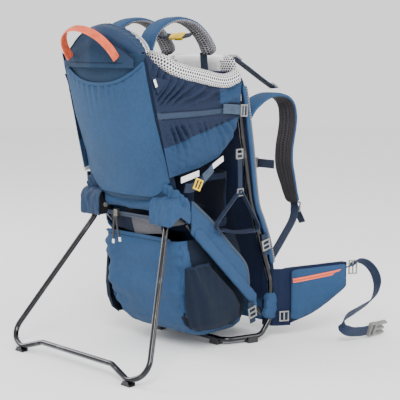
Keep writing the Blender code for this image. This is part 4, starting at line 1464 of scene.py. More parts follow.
@dataclass
class Cockpit:
    """The side wings of the child's compartment, its padded rim and the chin pad."""

    kit: Kit
    thick: float = 0.0042
    wing_top: tuple[tuple[float, float], ...] = (
        (-0.244, 0.64), (-0.193, 0.6), (-0.106, 0.578), (-0.039, 0.566), (0.008, 0.578), (0.022, 0.579),
    )
    wing_bottom: tuple[tuple[float, float], ...] = (
        (-0.184, 0.391), (-0.105, 0.406), (-0.054, 0.424), (-0.015, 0.46), (0.005, 0.506), (0.01, 0.508),
    )

    def x(self, y: float) -> float:
        """The wing's middle surface, from its distance to the wearer."""
        return 0.1265 + 0.085 * (y + 0.244) + 0.0025

    def wing(self, name: str, side: int) -> None:
        """One side wall: crinkled navy upper part, stitched band, gathered blue lower part.

        Args:
            name: The side's name, for the pieces' names.
            side: 1 on the wearer's right, -1 on the left.
        """
        def shape(u: float, v: float) -> Vector:
            """A point of the wing."""
            rear_low, rear_high = (-0.184, 0.391), (-0.244, 0.64)
            y_low = rear_low[0] + (0.006 - rear_low[0]) * u
            y_high = rear_high[0] + (0.012 - rear_high[0]) * u
            y = y_low + (y_high - y_low) * v
            low = between(self.wing_bottom, y_low)
            high = between(self.wing_top, y_high)
            z = low + (high - low) * v
            inside = min(1.0, min(u, 1 - u) / 0.06) * min(1.0, min(v, 1 - v) / 0.05)
            fan = math.atan2(z - 0.48, y + 0.262)
            folds = 0.0026 * math.sin(fan * 52 + 1.6 * ripple(11.0, y * 30, z * 30))
            folds += 0.0028 * ripple(12.0, y * 26, z * 34) + 0.0012 * ripple(13.0, y * 80, z * 80)
            upper = max(0.0, min(1.0, (z - 0.53) / 0.02))
            band = math.exp(-(((z - 0.518 - 0.06 * (y + 0.12)) / 0.01) ** 2))
            lower = max(0.0, min(1.0, (0.505 - z) / 0.02))
            seam = 0.452 + 0.27 * max(0.0, y + 0.196)
            near = 0.35 + math.exp(-max(0.0, seam - z) / 0.016)
            beat = 0.6 + 1.1 * ripple(15.0, y * 24, z * 6)
            gather = 0.003 * math.sin(
                (y * 0.85 + z * 0.25) * 400 + 4.5 * ripple(14.0, y * 30, z * 12)
            ) * lower * near * beat
            puff = 0.0035 * lower * math.sin(math.pi * min(1.0, v / 0.42))
            out = (folds * (upper * 0.9 + 0.12) + gather) * inside * (1 - band) + puff * inside
            return Vector((side * (self.x(y) + out * 1.5), y, z))

        def zone(u: float, v: float) -> int:
            """Which cloth the wing shows."""
            y = -0.184 + 0.19 * u + (-0.06 + 0.066 * u) * v
            low = between(self.wing_bottom, -0.184 + 0.19 * u)
            high = between(self.wing_top, -0.244 + 0.256 * u)
            z = low + (high - low) * v
            if z < 0.452 + 0.27 * max(0.0, y + 0.196) and y > -0.205:
                return 1
            band_low = 0.51 + 0.05 * max(0.0, y + 0.1)
            if band_low < z < band_low + 0.013 and y < -0.035:
                return 2
            if y > -0.051 and z > 0.536:
                return 1
            return 0

        size = (0.225, 0.215)
        bm = curved_grid(150, 130, shape, size, zone)
        # The gathered blue part uses a darker copy of the blue cloth as painted shade.
        finishes = (WALL_CLOTH, GATHERED_BLUE_PAINTED_SHADE, BAND_TAPE)
        piece = self.kit.add(
            f"cockpit_wall_{name}", bm, finishes, Body.PACK, [f"wing_{name}"], wall=THICK_WALL
        )
        self.trim(name, side)

    def trim(self, name: str, side: int) -> None:
        """The wing's patch, strap, buckle and front mesh strip.

        Args:
            name: The side's name, for the pieces' names.
            side: 1 on the wearer's right, -1 on the left.
        """
        def patch(u: float, v: float) -> Vector:
            """A point of the sewn triangle at the top rear corner."""
            a, b, c = Vector((0, -0.235, 0.596)), Vector((0, -0.192, 0.588)), Vector((0, -0.217, 0.56))
            p = a.lerp(b, u).lerp(a.lerp(c, u), v)
            return Vector((side * (self.x(p.y) + 0.0042), p.y, p.z))

        bm = curved_grid(12, 12, patch, (0.045, 0.035))
        bmesh.ops.remove_doubles(bm, verts=bm.verts, dist=1e-6)
        self.kit.add(f"corner_patch_{name}", bm, WALL_CLOTH, Body.PACK, wall=CLOTH_WALL, edge=TIP_EDGE)
        slot = [
            Vector((side * (self.x(y) + 0.0055), y, z))
            for y, z in ((-0.227, 0.59), (-0.2245, 0.583), (-0.221, 0.575))
        ]
        self.kit.add(
            f"patch_slot_{name}", strap(smooth_line(slot, 4), 0.0055, Vector((0, 1, 0.3))), LABEL, Body.PACK,
            wall=0.0008,
        )
        for label, line in (
            (
                "gather_seam",
                ((-0.194, 0.4535), (-0.149, 0.4655), (-0.1, 0.479), (-0.05, 0.4925), (-0.012, 0.5025)),
            ),
            ("band_top_seam", ((-0.207, 0.523), (-0.15, 0.524), (-0.1, 0.5245), (-0.045, 0.527))),
            ("band_low_seam", ((-0.204, 0.509), (-0.15, 0.51), (-0.1, 0.511), (-0.045, 0.514))),
            (
                "tip_seam",
                ((-0.051, 0.566), (-0.051, 0.552), (-0.049, 0.538), (-0.028, 0.5365), (0.004, 0.536)),
            ),
        ):
            path = even_line([(side * (self.x(y) + 0.0016), y, z) for y, z in line])
            self.kit.add(f"{label}_{name}", tube_along(path, 0.001, 8), BINDING, Body.PACK)
        tie = [
            Vector((side * (self.x(y) + 0.006), y, z))
            for y, z in ((-0.045, 0.525), (-0.028, 0.524), (-0.008, 0.522), (0.012, 0.52))
        ]
        self.kit.add(
            f"wing_strap_{name}", strap(even_line(tie, WEB_STEP), 0.02, Vector((0, 0.05, 1))), GREY_WEBBING,
            Body.PACK, wall=TAPE_WALL,
        )
        lock = ladder_lock(
            (side * (self.x(0.01) + 0.0075), 0.013, 0.519), Vector((0, 1, -0.05)), Vector((0, 0.05, 1)),
            (0.026, 0.021),
        )
        self.kit.add(f"wing_buckle_{name}", lock, SILVER, Body.PACK, wall=HOOD_WALL, edge=LOCK_EDGE)
        strip = [
            Vector((side * 0.141, y, z))
            for y, z in ((0.013, 0.59), (0.014, 0.573), (0.016, 0.553), (0.0175, 0.532))
        ]
        band = padded_band(even_line(strip, WEB_STEP), (0.012, 0.004), Vector((0, 1, 0.1)), around=12)
        self.kit.add(f"wing_mesh_strip_{name}", band, RIM_MESH, Body.PACK)

    def collar(self) -> None:
        """The mesh collar round the cockpit's rim."""
        right = [(self.x(y), y, z + 0.0165) for y, z in self.wing_top if y > -0.2][::-1]
        right = right[1:]
        rear = [(0.13, -0.16, 0.6075), (0.11, -0.186, 0.6255), (0.06, -0.1935, 0.6335), (0.0, -0.1945, 0.635)]
        half = [p for p in right if p[1] > -0.13] + rear
        whole = half + [(-x, y, z) for x, y, z in reversed(half[:-1])]
        line = spaced(smooth_line(whole, 8), LONG_STEP)

        def across(share: float) -> Vector:
            """The collar stands upright along the sides and leans back behind the child."""
            return Vector((0.0, 0.25 * math.sin(math.pi * share), 1.0))

        def lumps(u: float, v: float) -> float:
            """Soft unevenness of the stuffing."""
            return 0.0011 * ripple(21.0, u * 34, v * 4)

        band = padded_band(line, (0.03, 0.0145), across, around=24, ends=0.01, rough=lumps, power=0.78)
        piece = self.kit.add("mesh_collar", band, RIM_MESH, Body.PACK, ["rim_collar"])
        lower = [p + Vector((math.copysign(0.0005, p.x), 0.0, -0.015)) for p in line]
        self.kit.add("collar_piping", tube_along(lower, 0.0017, 8), BINDING, Body.PACK)

    def chin(self) -> None:
        """The soft pad that the child's chin rests on."""
        turn = Matrix.Rotation(math.radians(8), 3, "X")
        bm = soft_block((0, 0.046, 0.613), (0.1035, 0.0135, 0.0225), turn, cuts=15, corner=0.42, crown=0.3)
        for vert in bm.verts:
            lump = 0.0014 * ripple(25.0, vert.co.x * 26, vert.co.z * 40)
            seam = 0.002 * math.exp(-(((abs(vert.co.x) - 0.07) / 0.004) ** 2))
            vert.co.y += (lump - seam) * (1 if vert.co.y < 0.046 else -1) * -1
        for face in bm.faces:
            face.material_index = 1 if abs(face.calc_center_median().x) > 0.072 else 0
        piece = self.kit.add("chin_cushion", bm, (PAD_KNIT, RIM_MESH), Body.PACK, ["chin_pad"], rounds=1)

    def build(self) -> None:
        """Wings, collar and chin pad."""
        for name, side in SIDES.items():
            self.wing(name, side)
        self.collar()
        self.chin()


# ---------------------------------------------------------------- the child's harness and seat


@dataclass
class ChildHarness:
    """Two padded arches, their webbing and the yellow buckle."""

    kit: Kit
    reach: float = 0.062
    skew: float = 0.02
    path: tuple[tuple[float, float], ...] = (
        (-0.165, 0.604), (-0.169, 0.641), (-0.157, 0.679), (-0.131, 0.701), (-0.098, 0.709),
        (-0.064, 0.703), (-0.038, 0.685), (-0.02, 0.66), (-0.01, 0.635),
    )

    def arch(self, name: str, side: int) -> None:
        """One shoulder pad: blue outside, mesh inside.

        Args:
            name: The side's name, for the pieces' names.
            side: 1 on the wearer's right, -1 on the left.
        """
        last = len(self.path) - 1
        lean = [self.skew * (2 * i / last - 1) for i in range(last + 1)]
        line = even_line([(side * self.reach + shift, y, z) for shift, (y, z) in zip(lean, self.path)])

        def zone(u: float, v: float) -> int:
            """The side towards the child is mesh."""
            return 1 if 0.02 < v < 0.48 else 0

        def wrinkles(u: float, v: float) -> float:
            """Cross wrinkles where the pad bends."""
            return 0.0007 * ripple(31.0 + side, u * 60, v * 3) + 0.0009 * ripple(32.0, u * 14, v * 6)

        band = padded_band(line, (0.044, 0.0115), X_AXIS, zone, around=24, rough=wrinkles, ends=0.014)
        piece = self.kit.add(
            f"harness_arch_{name}", band, (BLUE_CLOTH, ARCH_MESH), Body.PACK, [f"harness_pad_{name}"]
        )
        tail = [
            (side * 0.06, -0.166, 0.612), (side * 0.06, -0.168, 0.59), (side * 0.062, -0.16, 0.56),
            (side * 0.064, -0.14, 0.52),
        ]
        self.kit.add(
            f"harness_tail_rear_{name}", strap(even_line(tail), 0.02, X_AXIS), NAVY_WEBBING, Body.PACK,
            wall=THIN_WEB_WALL,
        )
        drop = [
            (side * 0.06, -0.01, 0.64), (side * 0.06, -0.006, 0.6), (side * 0.058, -0.004, 0.55),
            (side * 0.052, -0.01, 0.5),
        ]
        self.kit.add(
            f"harness_tail_front_{name}", strap(even_line(drop), 0.02, X_AXIS), NAVY_WEBBING, Body.PACK,
            wall=THIN_WEB_WALL,
        )

    def buckle(self) -> None:
        """The yellow buckle and its sternum webbing."""
        turn = Matrix.Rotation(math.radians(40), 3, "X")
        up = turn @ Y_AXIS
        for name, half, offset in (
            ("socket", (0.014, 0.0105, 0.0046), 0.0085), ("plug", (0.009, 0.0088, 0.0036), -0.0115)
        ):
            bm = soft_block(Vector((offset, -0.03, 0.6745)), half, turn, cuts=5, corner=0.22, crown=0.1)
            self.kit.add(f"harness_buckle_{name}", bm, YELLOW, Body.PACK, ["harness_buckle"], rounds=1)
        web = [
            Vector((x, -0.03 - 0.006 * (x / 0.05) ** 2, 0.6745 + 0.004 * (x / 0.05) ** 2))
            for x in (-0.052, -0.036, -0.018, 0.0, 0.018, 0.036, 0.052)
        ]
        self.kit.add(
            "harness_sternum_web", strap(even_line(web, WEB_STEP), 0.015, up), NAVY_WEBBING, Body.PACK,
            wall=THIN_WEB_WALL,
        )

    def build(self) -> None:
        """Both arches and the buckle."""
        for name, side in SIDES.items():
            self.arch(name, side)
        self.buckle()


@dataclass
class Seat:
    """The seat shell with its leg holes, the saddle, and the strap that sets its height."""

    kit: Kit
    half: float = 0.1155
    adjuster_x: float = 0.1535

    def shell(self) -> None:
        """Soft walls round the child's hips, with bevelled edges on the leg holes."""
        def ring(t: float) -> Vector:
            """A point round the seat in plan, from 0 to 1."""
            angle = 2 * math.pi * t
            c, s = math.cos(angle), math.sin(angle)
            x = math.copysign(abs(c) ** 0.55, c) * (self.half - 0.0022)
            y = -0.039 + math.copysign(abs(s) ** 0.55, s) * 0.077
            return Vector((x, y, 0.0))

        def shape(u: float, v: float) -> Vector:
            """A point of the wall, from the rim down and in under the seat."""
            edge = ring(u)
            if v < 0.72:
                z = 0.3835 - (0.3835 - 0.268) * v / 0.72
                inset = 1.0
            else:
                share = (v - 0.72) / 0.28
                z = 0.268 - 0.004 * math.sin(share * math.pi / 2)
                inset = 1.0 - 0.94 * share
            wave = 0.0012 * ripple(41.0, edge.x * 20, z * 24)
            return Vector((edge.x * inset, -0.039 + (edge.y + 0.039) * inset, z + wave))

        bm = curved_grid(112, 40, shape, (0.62, 0.24))
        bmesh.ops.remove_doubles(bm, verts=bm.verts, dist=1e-6)
        holes = []
        for face in bm.faces:
            c = face.calc_center_median()
            if abs(c.x) > 0.09 and -0.088 < c.y < 0.024 and 0.28 < c.z < 0.372:
                if ((c.y + 0.032) / 0.056) ** 4 + ((c.z - 0.326) / 0.046) ** 4 < 1:
                    holes.append(face)
        bmesh.ops.delete(bm, geom=holes, context="FACES")
        piece = self.kit.add(
            "seat_walls", bm, INNER_CLOTH, Body.SEAT, ["seat_shell"], wall=0.004, edge=0.0012
        )
        bm = soft_block(
            (0, -0.042, 0.3), (0.049, 0.069, 0.0104), Matrix.Identity(3), cuts=13, corner=0.5, crown=0.3
        )
        piece = self.kit.add("seat_cushion", bm, INNER_CLOTH, Body.SEAT, ["seat_saddle"], rounds=1)

    def adjuster(self, name: str, side: int) -> None:
        """The grey-blue strap with a yellow ladder lock and blank labels.

        Args:
            name: The side's name, for the pieces' names.
            side: 1 on the wearer's right, -1 on the left.
        """
        path = (
            (-0.16, 0.369), (-0.142, 0.368), (-0.118, 0.374), (-0.098, 0.388), (-0.082, 0.406),
            (-0.066, 0.416),
        )
        up = Vector((side * 0.15, 0.35, 0.9))
        line = even_line([(side * self.adjuster_x, y, z) for y, z in path[:5]], WEB_STEP)
        self.kit.add(
            f"seat_strap_{name}", strap(line, 0.019, up), NAVY_WEBBING, Body.PACK, [f"seat_adjuster_{name}"],
            wall=WEB_WALL,
        )
        tab = [
            Vector((side * (self.adjuster_x + 0.0016), y, z))
            for y, z in ((-0.108, 0.385), (-0.094, 0.3935), (-0.08, 0.4035))
        ]
        self.kit.add(
            f"seat_tab_{name}", strap(smooth_line(tab, 4), 0.02, up), GREY_WEBBING, Body.PACK, wall=TAPE_WALL
        )
        lock = ladder_lock(
            (side * (self.adjuster_x + 0.002), -0.124, 0.3735), Vector((0, 0.97, 0.25)), up, (0.0235, 0.024)
        )
        self.kit.add(f"seat_lock_{name}", lock, YELLOW, Body.PACK, wall=SMALL_LOCK_WALL, edge=LOCK_EDGE)
        label = [
            Vector((side * (self.adjuster_x - 0.001), y, z))
            for y, z in ((-0.17, 0.386), (-0.144, 0.391), (-0.118, 0.396))
        ]
        self.kit.add(
            f"seat_label_{name}", strap(smooth_line(label, 4), 0.013, up), LABEL, Body.PACK, wall=LABEL_WALL
        )
        tag = [
            Vector((side * (self.adjuster_x - 0.002), y, z))
            for y, z in ((-0.076, 0.406), (-0.06, 0.414), (-0.044, 0.421))
        ]
        self.kit.add(
            f"seat_tag_{name}", strap(smooth_line(tag, 4), 0.013, up), LABEL, Body.PACK, wall=LABEL_WALL
        )

    def build(self) -> None:
        """Seat and adjusters."""
        self.shell()
        for name, side in SIDES.items():
            self.adjuster(name, side)


# ---------------------------------------------------------------- the lower bag


@dataclass
class LowerBag:
    """The lower bag, its zip opening, the sleeve over the crossbar and the zip pulls."""

    kit: Kit
    rings: tuple[tuple[float, ...], ...] = (
        (0.028, 0.092, -0.056, 0.07, 0.024), (0.04, 0.104, -0.088, 0.08, 0.026),
        (0.062, 0.111, -0.113, 0.086, 0.028),
        (0.092, 0.116, -0.131, 0.088, 0.03), (0.15, 0.119, -0.147, 0.08, 0.03),
        (0.205, 0.12, -0.15, 0.066, 0.028),
        (0.25, 0.118, -0.15, 0.046, 0.026),
    )

    def row(self, z: float) -> tuple[float, float, float]:
        """Half width, rear and front of the bag at a height."""
        tables = [tuple((r[0], r[k]) for r in self.rings) for k in (1, 2, 3)]
        return tuple(between(table, z) for table in tables)

    def bag(self) -> None:
        """The bag's skin, open at the top, with slumped folds."""
        def shape(u: float, v: float) -> Vector:
            """A point of the bag, from the middle of its floor out and up to its rim."""
            angle = 2 * math.pi * u
            c, s = math.cos(angle), math.sin(angle)
            z = 0.028 if v < 0.2 else 0.028 + 0.222 * (v - 0.2) / 0.8
            inset = v / 0.2 if v < 0.2 else 1.0
            half, rear, front = self.row(z)
            power = 0.26
            x = math.copysign(abs(c) ** power, c) * (half - 0.0012) * inset
            mid = (rear + front) / 2
            y = mid + math.copysign(abs(s) ** power, s) * ((front - rear) / 2 - 0.0012) * inset
            sag = 0.004 * math.sin(
                z * 62 + 2.2 * ripple(51.0, x * 12, z * 16)
            ) * math.exp(-((y + 0.15) / 0.05) ** 2)
            crease = 0.003 * ripple(52.0, x * 26, z * 30) + 0.0014 * ripple(53.0, x * 70, z * 90)
            corner = 0.003 * math.sin(
                z * 230 + 3 * ripple(54.0, z * 20)
            ) * math.exp(-((abs(x) - 0.112) / 0.012) ** 2)
            out = (
                sag + crease + corner * (1 if y < -0.1 else 0)
            ) * (1 if v >= 0.2 else 0) * min(1.0, (1 - v) / 0.05)
            return Vector(
                (
                    x * (1 + out * 2), y + (out if y > -0.04 else -out),
                    z + (0.0007 * ripple(55.0, x * 30, y * 30) if v < 0.2 else 0),
                )
            )

        bm = curved_grid(220, 100, shape, (0.86, 0.34))
        bmesh.ops.remove_doubles(bm, verts=bm.verts, dist=1e-5)
        for face in bm.faces:
            centre = face.calc_center_median()
            if abs(centre.x) > 0.098 and centre.y > -0.118 and centre.z > 0.05:
                face.material_index = 1
        piece = self.kit.add(
            "bag_skin", bm, (BLUE_CLOTH, SIDE_NET), Body.PACK, ["lower_bag"], wall=DOUBLE_WEB_WALL
        )

    def rim(self) -> None:
        """The zipped rim, its dark mouth and the grey mesh patch behind the pulls."""
        line = [Vector((x, -0.1515, 0.2525)) for x in (-0.102, -0.07, -0.035, 0.0, 0.035, 0.07, 0.102)]
        self.kit.add(
            "bag_rim", padded_band(spaced(line), (0.008, 0.004), Vector((0, 0.2, 1)), around=12), BLUE_CLOTH,
            Body.PACK,
        )
        zip_line = [Vector((x, -0.166, 0.297)) for x in (-0.08, -0.04, 0.0, 0.04, 0.078)]
        zip_band = strap(spaced(zip_line, WEB_STEP), 0.009, Vector((0, 0.1, 1)), rows=4)
        self.kit.add("rear_zip", zip_band, DARK_ZIP, Body.PACK, wall=CLOTH_WALL)

        def patch(u: float, v: float) -> Vector:
            """A point of the hanging mesh gusset."""
            x = -0.084 + 0.168 * u
            z = 0.2975 - 0.043 * v * (1 - 0.25 * abs(2 * u - 1))
            return Vector((x, -0.156 + 0.01 * v + 0.0016 * ripple(57.0, x * 40, z * 40), z))

        bm = curved_grid(60, 16, patch, (0.168, 0.043), lambda u, v: 1 if 0.42 < u < 0.93 else 0)
        piece = self.kit.add("mouth_gusset", bm, (INNER_CLOTH, GUSSET_NET), Body.PACK, wall=0.0012)

    def sleeve(self) -> None:
        """The blue sleeve wrapped round the rear crossbar."""
        def shape(u: float, v: float) -> Vector:
            """A point of the sleeve."""
            x = -0.079 + 0.158 * u
            angle = 2 * math.pi * v
            bulge = 1 + 0.12 * ripple(58.0, x * 40, math.cos(angle), math.sin(angle))
            y = -0.16 + math.cos(angle) * 0.0135 * bulge
            z = 0.33 + math.sin(angle) * 0.018 * bulge
            return Vector((x, y, z))

        bm = closed_sleeve(curved_grid(70, 32, shape, (0.158, 0.1)))
        piece = self.kit.add("crossbar_sleeve", bm, BLUE_CLOTH, Body.PACK)

    def pulls(self) -> None:
        """The zip slider in metal, and its two cord pulls with pale tips."""
        self.kit.redress("bag_zip_slider", DARK_METAL)
        for name, start, end in (
            ("first", (-0.0455, -0.1765, 0.29), (-0.0505, -0.1755, 0.24)),
            ("second", (-0.04, -0.1765, 0.292), (-0.03, -0.176, 0.246)),
        ):
            a, b = Vector(start), Vector(end)
            mid = a.lerp(b, 0.5) + Vector((0, -0.0015, 0))
            line = spaced(smooth_line([a, mid, b], 6), WEB_STEP)
            self.kit.add(
                f"zip_pull_{name}", strap(line, 0.0052, X_AXIS, rows=2), BLACK_PLASTIC, Body.BAG_ZIP,
                wall=TAPE_WALL, edge=TIP_EDGE,
            )
            down = (b - a).normalized()
            tip = [b - down * 0.001, b + down * 0.004, b + down * 0.0085]
            self.kit.add(
                f"zip_tip_{name}", strap(tip, 0.0062, X_AXIS, rows=2), LABEL, Body.BAG_ZIP,
                wall=DOUBLE_WEB_WALL, edge=0.0005,
            )

    def build(self) -> None:
        """The whole lower bag."""
        self.bag()
        self.rim()
        self.sleeve()
        self.pulls()


# ---------------------------------------------------------------- the sides


@dataclass
class SidePieces:
    """Side panels with their padded bands, mesh pockets, gusset folds and hinge hoods."""

    kit: Kit
    panel_top: tuple[tuple[float, float], ...] = (
        (-0.122, 0.335), (-0.067, 0.288), (-0.014, 0.232), (0.035, 0.18), (0.046, 0.128), (0.07, 0.11),
    )
    pocket_rings: tuple[tuple[float, ...], ...] = (
        (0.05, 0.012, -0.098, 0.018), (0.064, 0.022, -0.114, 0.03), (0.092, 0.028, -0.124, 0.03),
        (0.125, 0.028, -0.127, 0.006), (0.16, 0.02, -0.128, -0.03), (0.196, 0.012, -0.128, -0.064),
    )

    def panel_x(self, y: float) -> float:
        """The side panel's middle surface."""
        return 0.1328 + 0.0711 * (y + 0.129)

    def strut_z(self, y: float) -> float:
        """The strut's height at a distance to the wearer."""
        return 0.288 - 0.228 * (y + 0.129) / 0.225

    def panel(self, name: str, side: int) -> None:
        """The blue panel from the hinge to the belt, with its rolled edges.

        Args:
            name: The side's name, for the pieces' names.
            side: 1 on the wearer's right, -1 on the left.
        """
        def shape(u: float, v: float) -> Vector:
            """A point of the panel."""
            y = -0.122 + 0.19 * u
            high = between(self.panel_top, y)
            low = self.strut_z(y) - 0.013
            z = low + (high - low) * v
            edge = min(1.0, min(v, 1 - v) / 0.18)
            roll = 0.0016 * math.sin(math.pi * min(1.0, v / 0.45))
            wave = 0.0013 * ripple(61.0, y * 26, z * 26) + 0.0006 * ripple(62.0, y * 80, z * 80)
            return Vector((side * (self.panel_x(y) + (roll + wave) * edge), y, z))

        size = (0.27, 0.062)
        piece = self.kit.add(
            f"side_wall_{name}", curved_grid(110, 26, shape, size), BLUE_CLOTH, Body.PACK,
            [f"side_panel_{name}"], wall=PANEL_WALL, edge=LOCK_EDGE,
        )
        top = [Vector((side * (self.panel_x(y) + 0.0002), y, z + 0.001)) for y, z in self.panel_top[:5]]
        hem = padded_band(even_line(top), (0.0075, 0.0056), Vector((0, 0.55, 1)), around=12)
        self.kit.add(f"side_hem_{name}", hem, HEM_TAPE, Body.PACK)
        low = [
            Vector((side * (self.panel_x(y) + 0.0034), y, self.strut_z(y) + 0.002))
            for y in (-0.112, -0.07, -0.02, 0.03, 0.062)
        ]
        band = padded_band(even_line(low), (0.026, 0.0085), Vector((0, 0.7, 0.75)), around=16,
                           rough=lambda u, v: 0.0009 * ripple(63.0, u * 26, v * 4))
        piece = self.kit.add(f"side_band_{name}", band, BLUE_CLOTH, Body.PACK)

    def pocket(self, name: str, side: int) -> None:
        """The stretch-mesh pocket with an elastic hem.

        Args:
            name: The side's name, for the pieces' names.
            side: 1 on the wearer's right, -1 on the left.
        """
        def row(z: float) -> tuple[float, float, float]:
            """Reach, rear and front at a height."""
            return tuple(between(tuple((r[0], r[k]) for r in self.pocket_rings), z) for k in (1, 2, 3))

        def shape(u: float, v: float) -> Vector:
            """A point of the pocket, from its floor's rear edge round to the front."""
            z = 0.05 + 0.146 * v
            reach, rear, front = row(z)
            angle = math.pi * u
            swell_out = math.sin(angle) ** 0.62
            y = rear + (front - rear) * (
                0.5 - 0.5 * math.copysign(abs(math.cos(angle)) ** 0.75, math.cos(angle))
            )
            fold = 0.0022 * ripple(65.0, y * 22, z * 24) + 0.0013 * math.sin(
                y * 260 + 3 * ripple(66.0, y * 20, z * 10)
            ) * math.exp(-((1 - v) / 0.25))
            pleat = 0.0036 * math.sin(u * 17 + 2.0 * v + 1.5 * ripple(67.0, u * 3, v * 2)) * swell_out
            fold += pleat
            drop = 0.012 * (1 - u) * (v - 0.5) * 0.5
            return Vector((side * (0.1218 + (reach - 0.001) * swell_out + fold * swell_out), y, z - drop))

        size = (0.185, 0.155)
        bm = curved_grid(110, 60, shape, size)
        piece = self.kit.add(
            f"side_pocket_net_{name}", bm, SIDE_NET, Body.PACK, [f"side_pocket_{name}"], wall=CLOTH_WALL
        )
        hem = []
        for i in range(41):
            hem.append(shape(i / 40, 0.985) + Vector((side * 0.0004, 0, 0.001)))
        band = padded_band(spaced(hem), (0.008, 0.0042), Z_AXIS, around=12)
        self.kit.add(f"pocket_elastic_{name}", band, BINDING, Body.PACK)

    def gusset(self, name: str, side: int) -> None:
        """The crumpled fold down the bag's rear corner.

        Args:
            name: The side's name, for the pieces' names.
            side: 1 on the wearer's right, -1 on the left.
        """
        line = [
            (side * 0.115, -0.126, 0.246), (side * 0.1165, -0.124, 0.22), (side * 0.1155, -0.12, 0.186),
            (side * 0.1145, -0.117, 0.145), (side * 0.112, -0.113, 0.108), (side * 0.108, -0.105, 0.08),
        ]

        def crumple(u: float, v: float) -> float:
            """Deep random creases."""
            turn = 2 * math.pi * v
            place = (u * 7, math.cos(turn) * 0.9, math.sin(turn) * 0.9)
            fine = (u * 21, math.cos(turn) * 1.6, math.sin(turn) * 1.6)
            return 0.0034 * ripple(71.0 + side, *place) + 0.0015 * ripple(72.0, *fine)

        def width(share: float) -> tuple[float, float]:
            """Widest in the middle."""
            return 0.015 + 0.01 * math.sin(math.pi * share), 0.009

        band = padded_band(
            even_line(line, 0.0028), width, Vector((side * 0.45, 0.9, 0.0)), around=26, rough=crumple,
            ends=0.01,
        )
        piece = self.kit.add(f"corner_fold_{name}", band, BLUE_CLOTH, Body.PACK)

    def hood(self, name: str, side: int) -> None:
        """The crumpled hood over the hinge, open below for the leg's swing.

        Args:
            name: The side's name, for the pieces' names.
            side: 1 on the wearer's right, -1 on the left.
        """
        near = side > 0

        def y_of(c: float) -> float:
            """The hood's plain section, front to rear."""
            return -0.1605 - math.copysign(abs(c) ** 0.7, c) * 0.0262

        def z_of(s: float) -> float:
            """The hood's plain section, in height."""
            return 0.312 + math.copysign(abs(s) ** 0.7, s) * 0.033

        def shape(u: float, v: float) -> Vector:
            """A point of the hood, over the top of the hinge from rear to front."""
            angle = math.radians(-28 + 236 * v)
            x = 0.08 + 0.061 * u
            c, s = math.cos(angle), math.sin(angle)
            crumple = 0.1 * (
                1 + ripple(75.0 + side, x * 52, y_of(c) * 52, z_of(s) * 52)
            ) + 0.05 * ripple(76.0, x * 120, z_of(s) * 120)
            pinch = 0.05 * math.sin(
                x * 170 + 5 * ripple(78.0, x * 24, c * 1.3, s * 1.3)
            ) * (0.6 + ripple(80.0, x * 30, s))
            y = -0.1605 + (y_of(c) + 0.1605) * (1 + crumple + pinch)
            z = 0.312 + (z_of(s) - 0.312) * (1 + crumple * 0.7 + pinch)
            return Vector((side * x, y, z))

        bm = curved_grid(44, 60, shape, (0.058, 0.15))
        # Painted shade: the far hood, on the left, gets the darker cap cloth, and the near one on the right
        # is blue.
        finish = BLUE_CLOTH if near else CAP_CLOTH
        piece = self.kit.add(
            f"hinge_hood_{name}", bm, finish, Body.PACK, [f"hinge_cover_{name}"], wall=HOOD_WALL
        )

        def cheek(u: float, v: float) -> Vector:
            """A point of the hood's outer side."""
            angle = math.radians(-28 + 236 * u)
            c, s = math.cos(angle), math.sin(angle)
            y = -0.1605 + (y_of(c) + 0.1605) * v * 1.08
            z = 0.312 + (z_of(s) - 0.312) * v * 1.06 - 0.004 * (1 - v)
            crumple = 0.0028 * ripple(77.0 + side, y * 60, z * 60)
            return Vector((side * (0.1405 - 0.0006 + crumple * v * (1 - v) * 3), y, z))

        bm = curved_grid(50, 18, cheek, (0.1, 0.034))
        bmesh.ops.remove_doubles(bm, verts=bm.verts, dist=1e-6)
        self.kit.add(f"hood_cheek_{name}", bm, finish, Body.PACK, wall=0.0028)
        points = [
            (side * 0.1, -0.1735, 0.37), (side * 0.117, -0.172, 0.361), (side * 0.133, -0.166, 0.348),
            (side * 0.1405, -0.15, 0.33),
        ]

        def tangle(u: float, v: float) -> float:
            """Deep creases in the bunched cloth."""
            turn = 2 * math.pi * v
            return 0.004 * ripple(
                79.0 + side, u * 6, math.cos(turn), math.sin(turn)
            ) + 0.0018 * math.sin(u * 34 + 3 * math.cos(turn))

        line = even_line(points, 0.002)
        band = padded_band(
            line, lambda t: (0.026 + 0.006 * t, 0.009), Vector((side * 0.2, -0.3, 1.0)), around=28,
            rough=tangle,
        )
        piece = self.kit.add(f"hood_bunch_{name}", band, finish, Body.PACK)

    def build(self) -> None:
        """Both sides."""
        for name, side in SIDES.items():
            self.panel(name, side)
            self.pocket(name, side)
            self.gusset(name, side)
            self.hood(name, side)


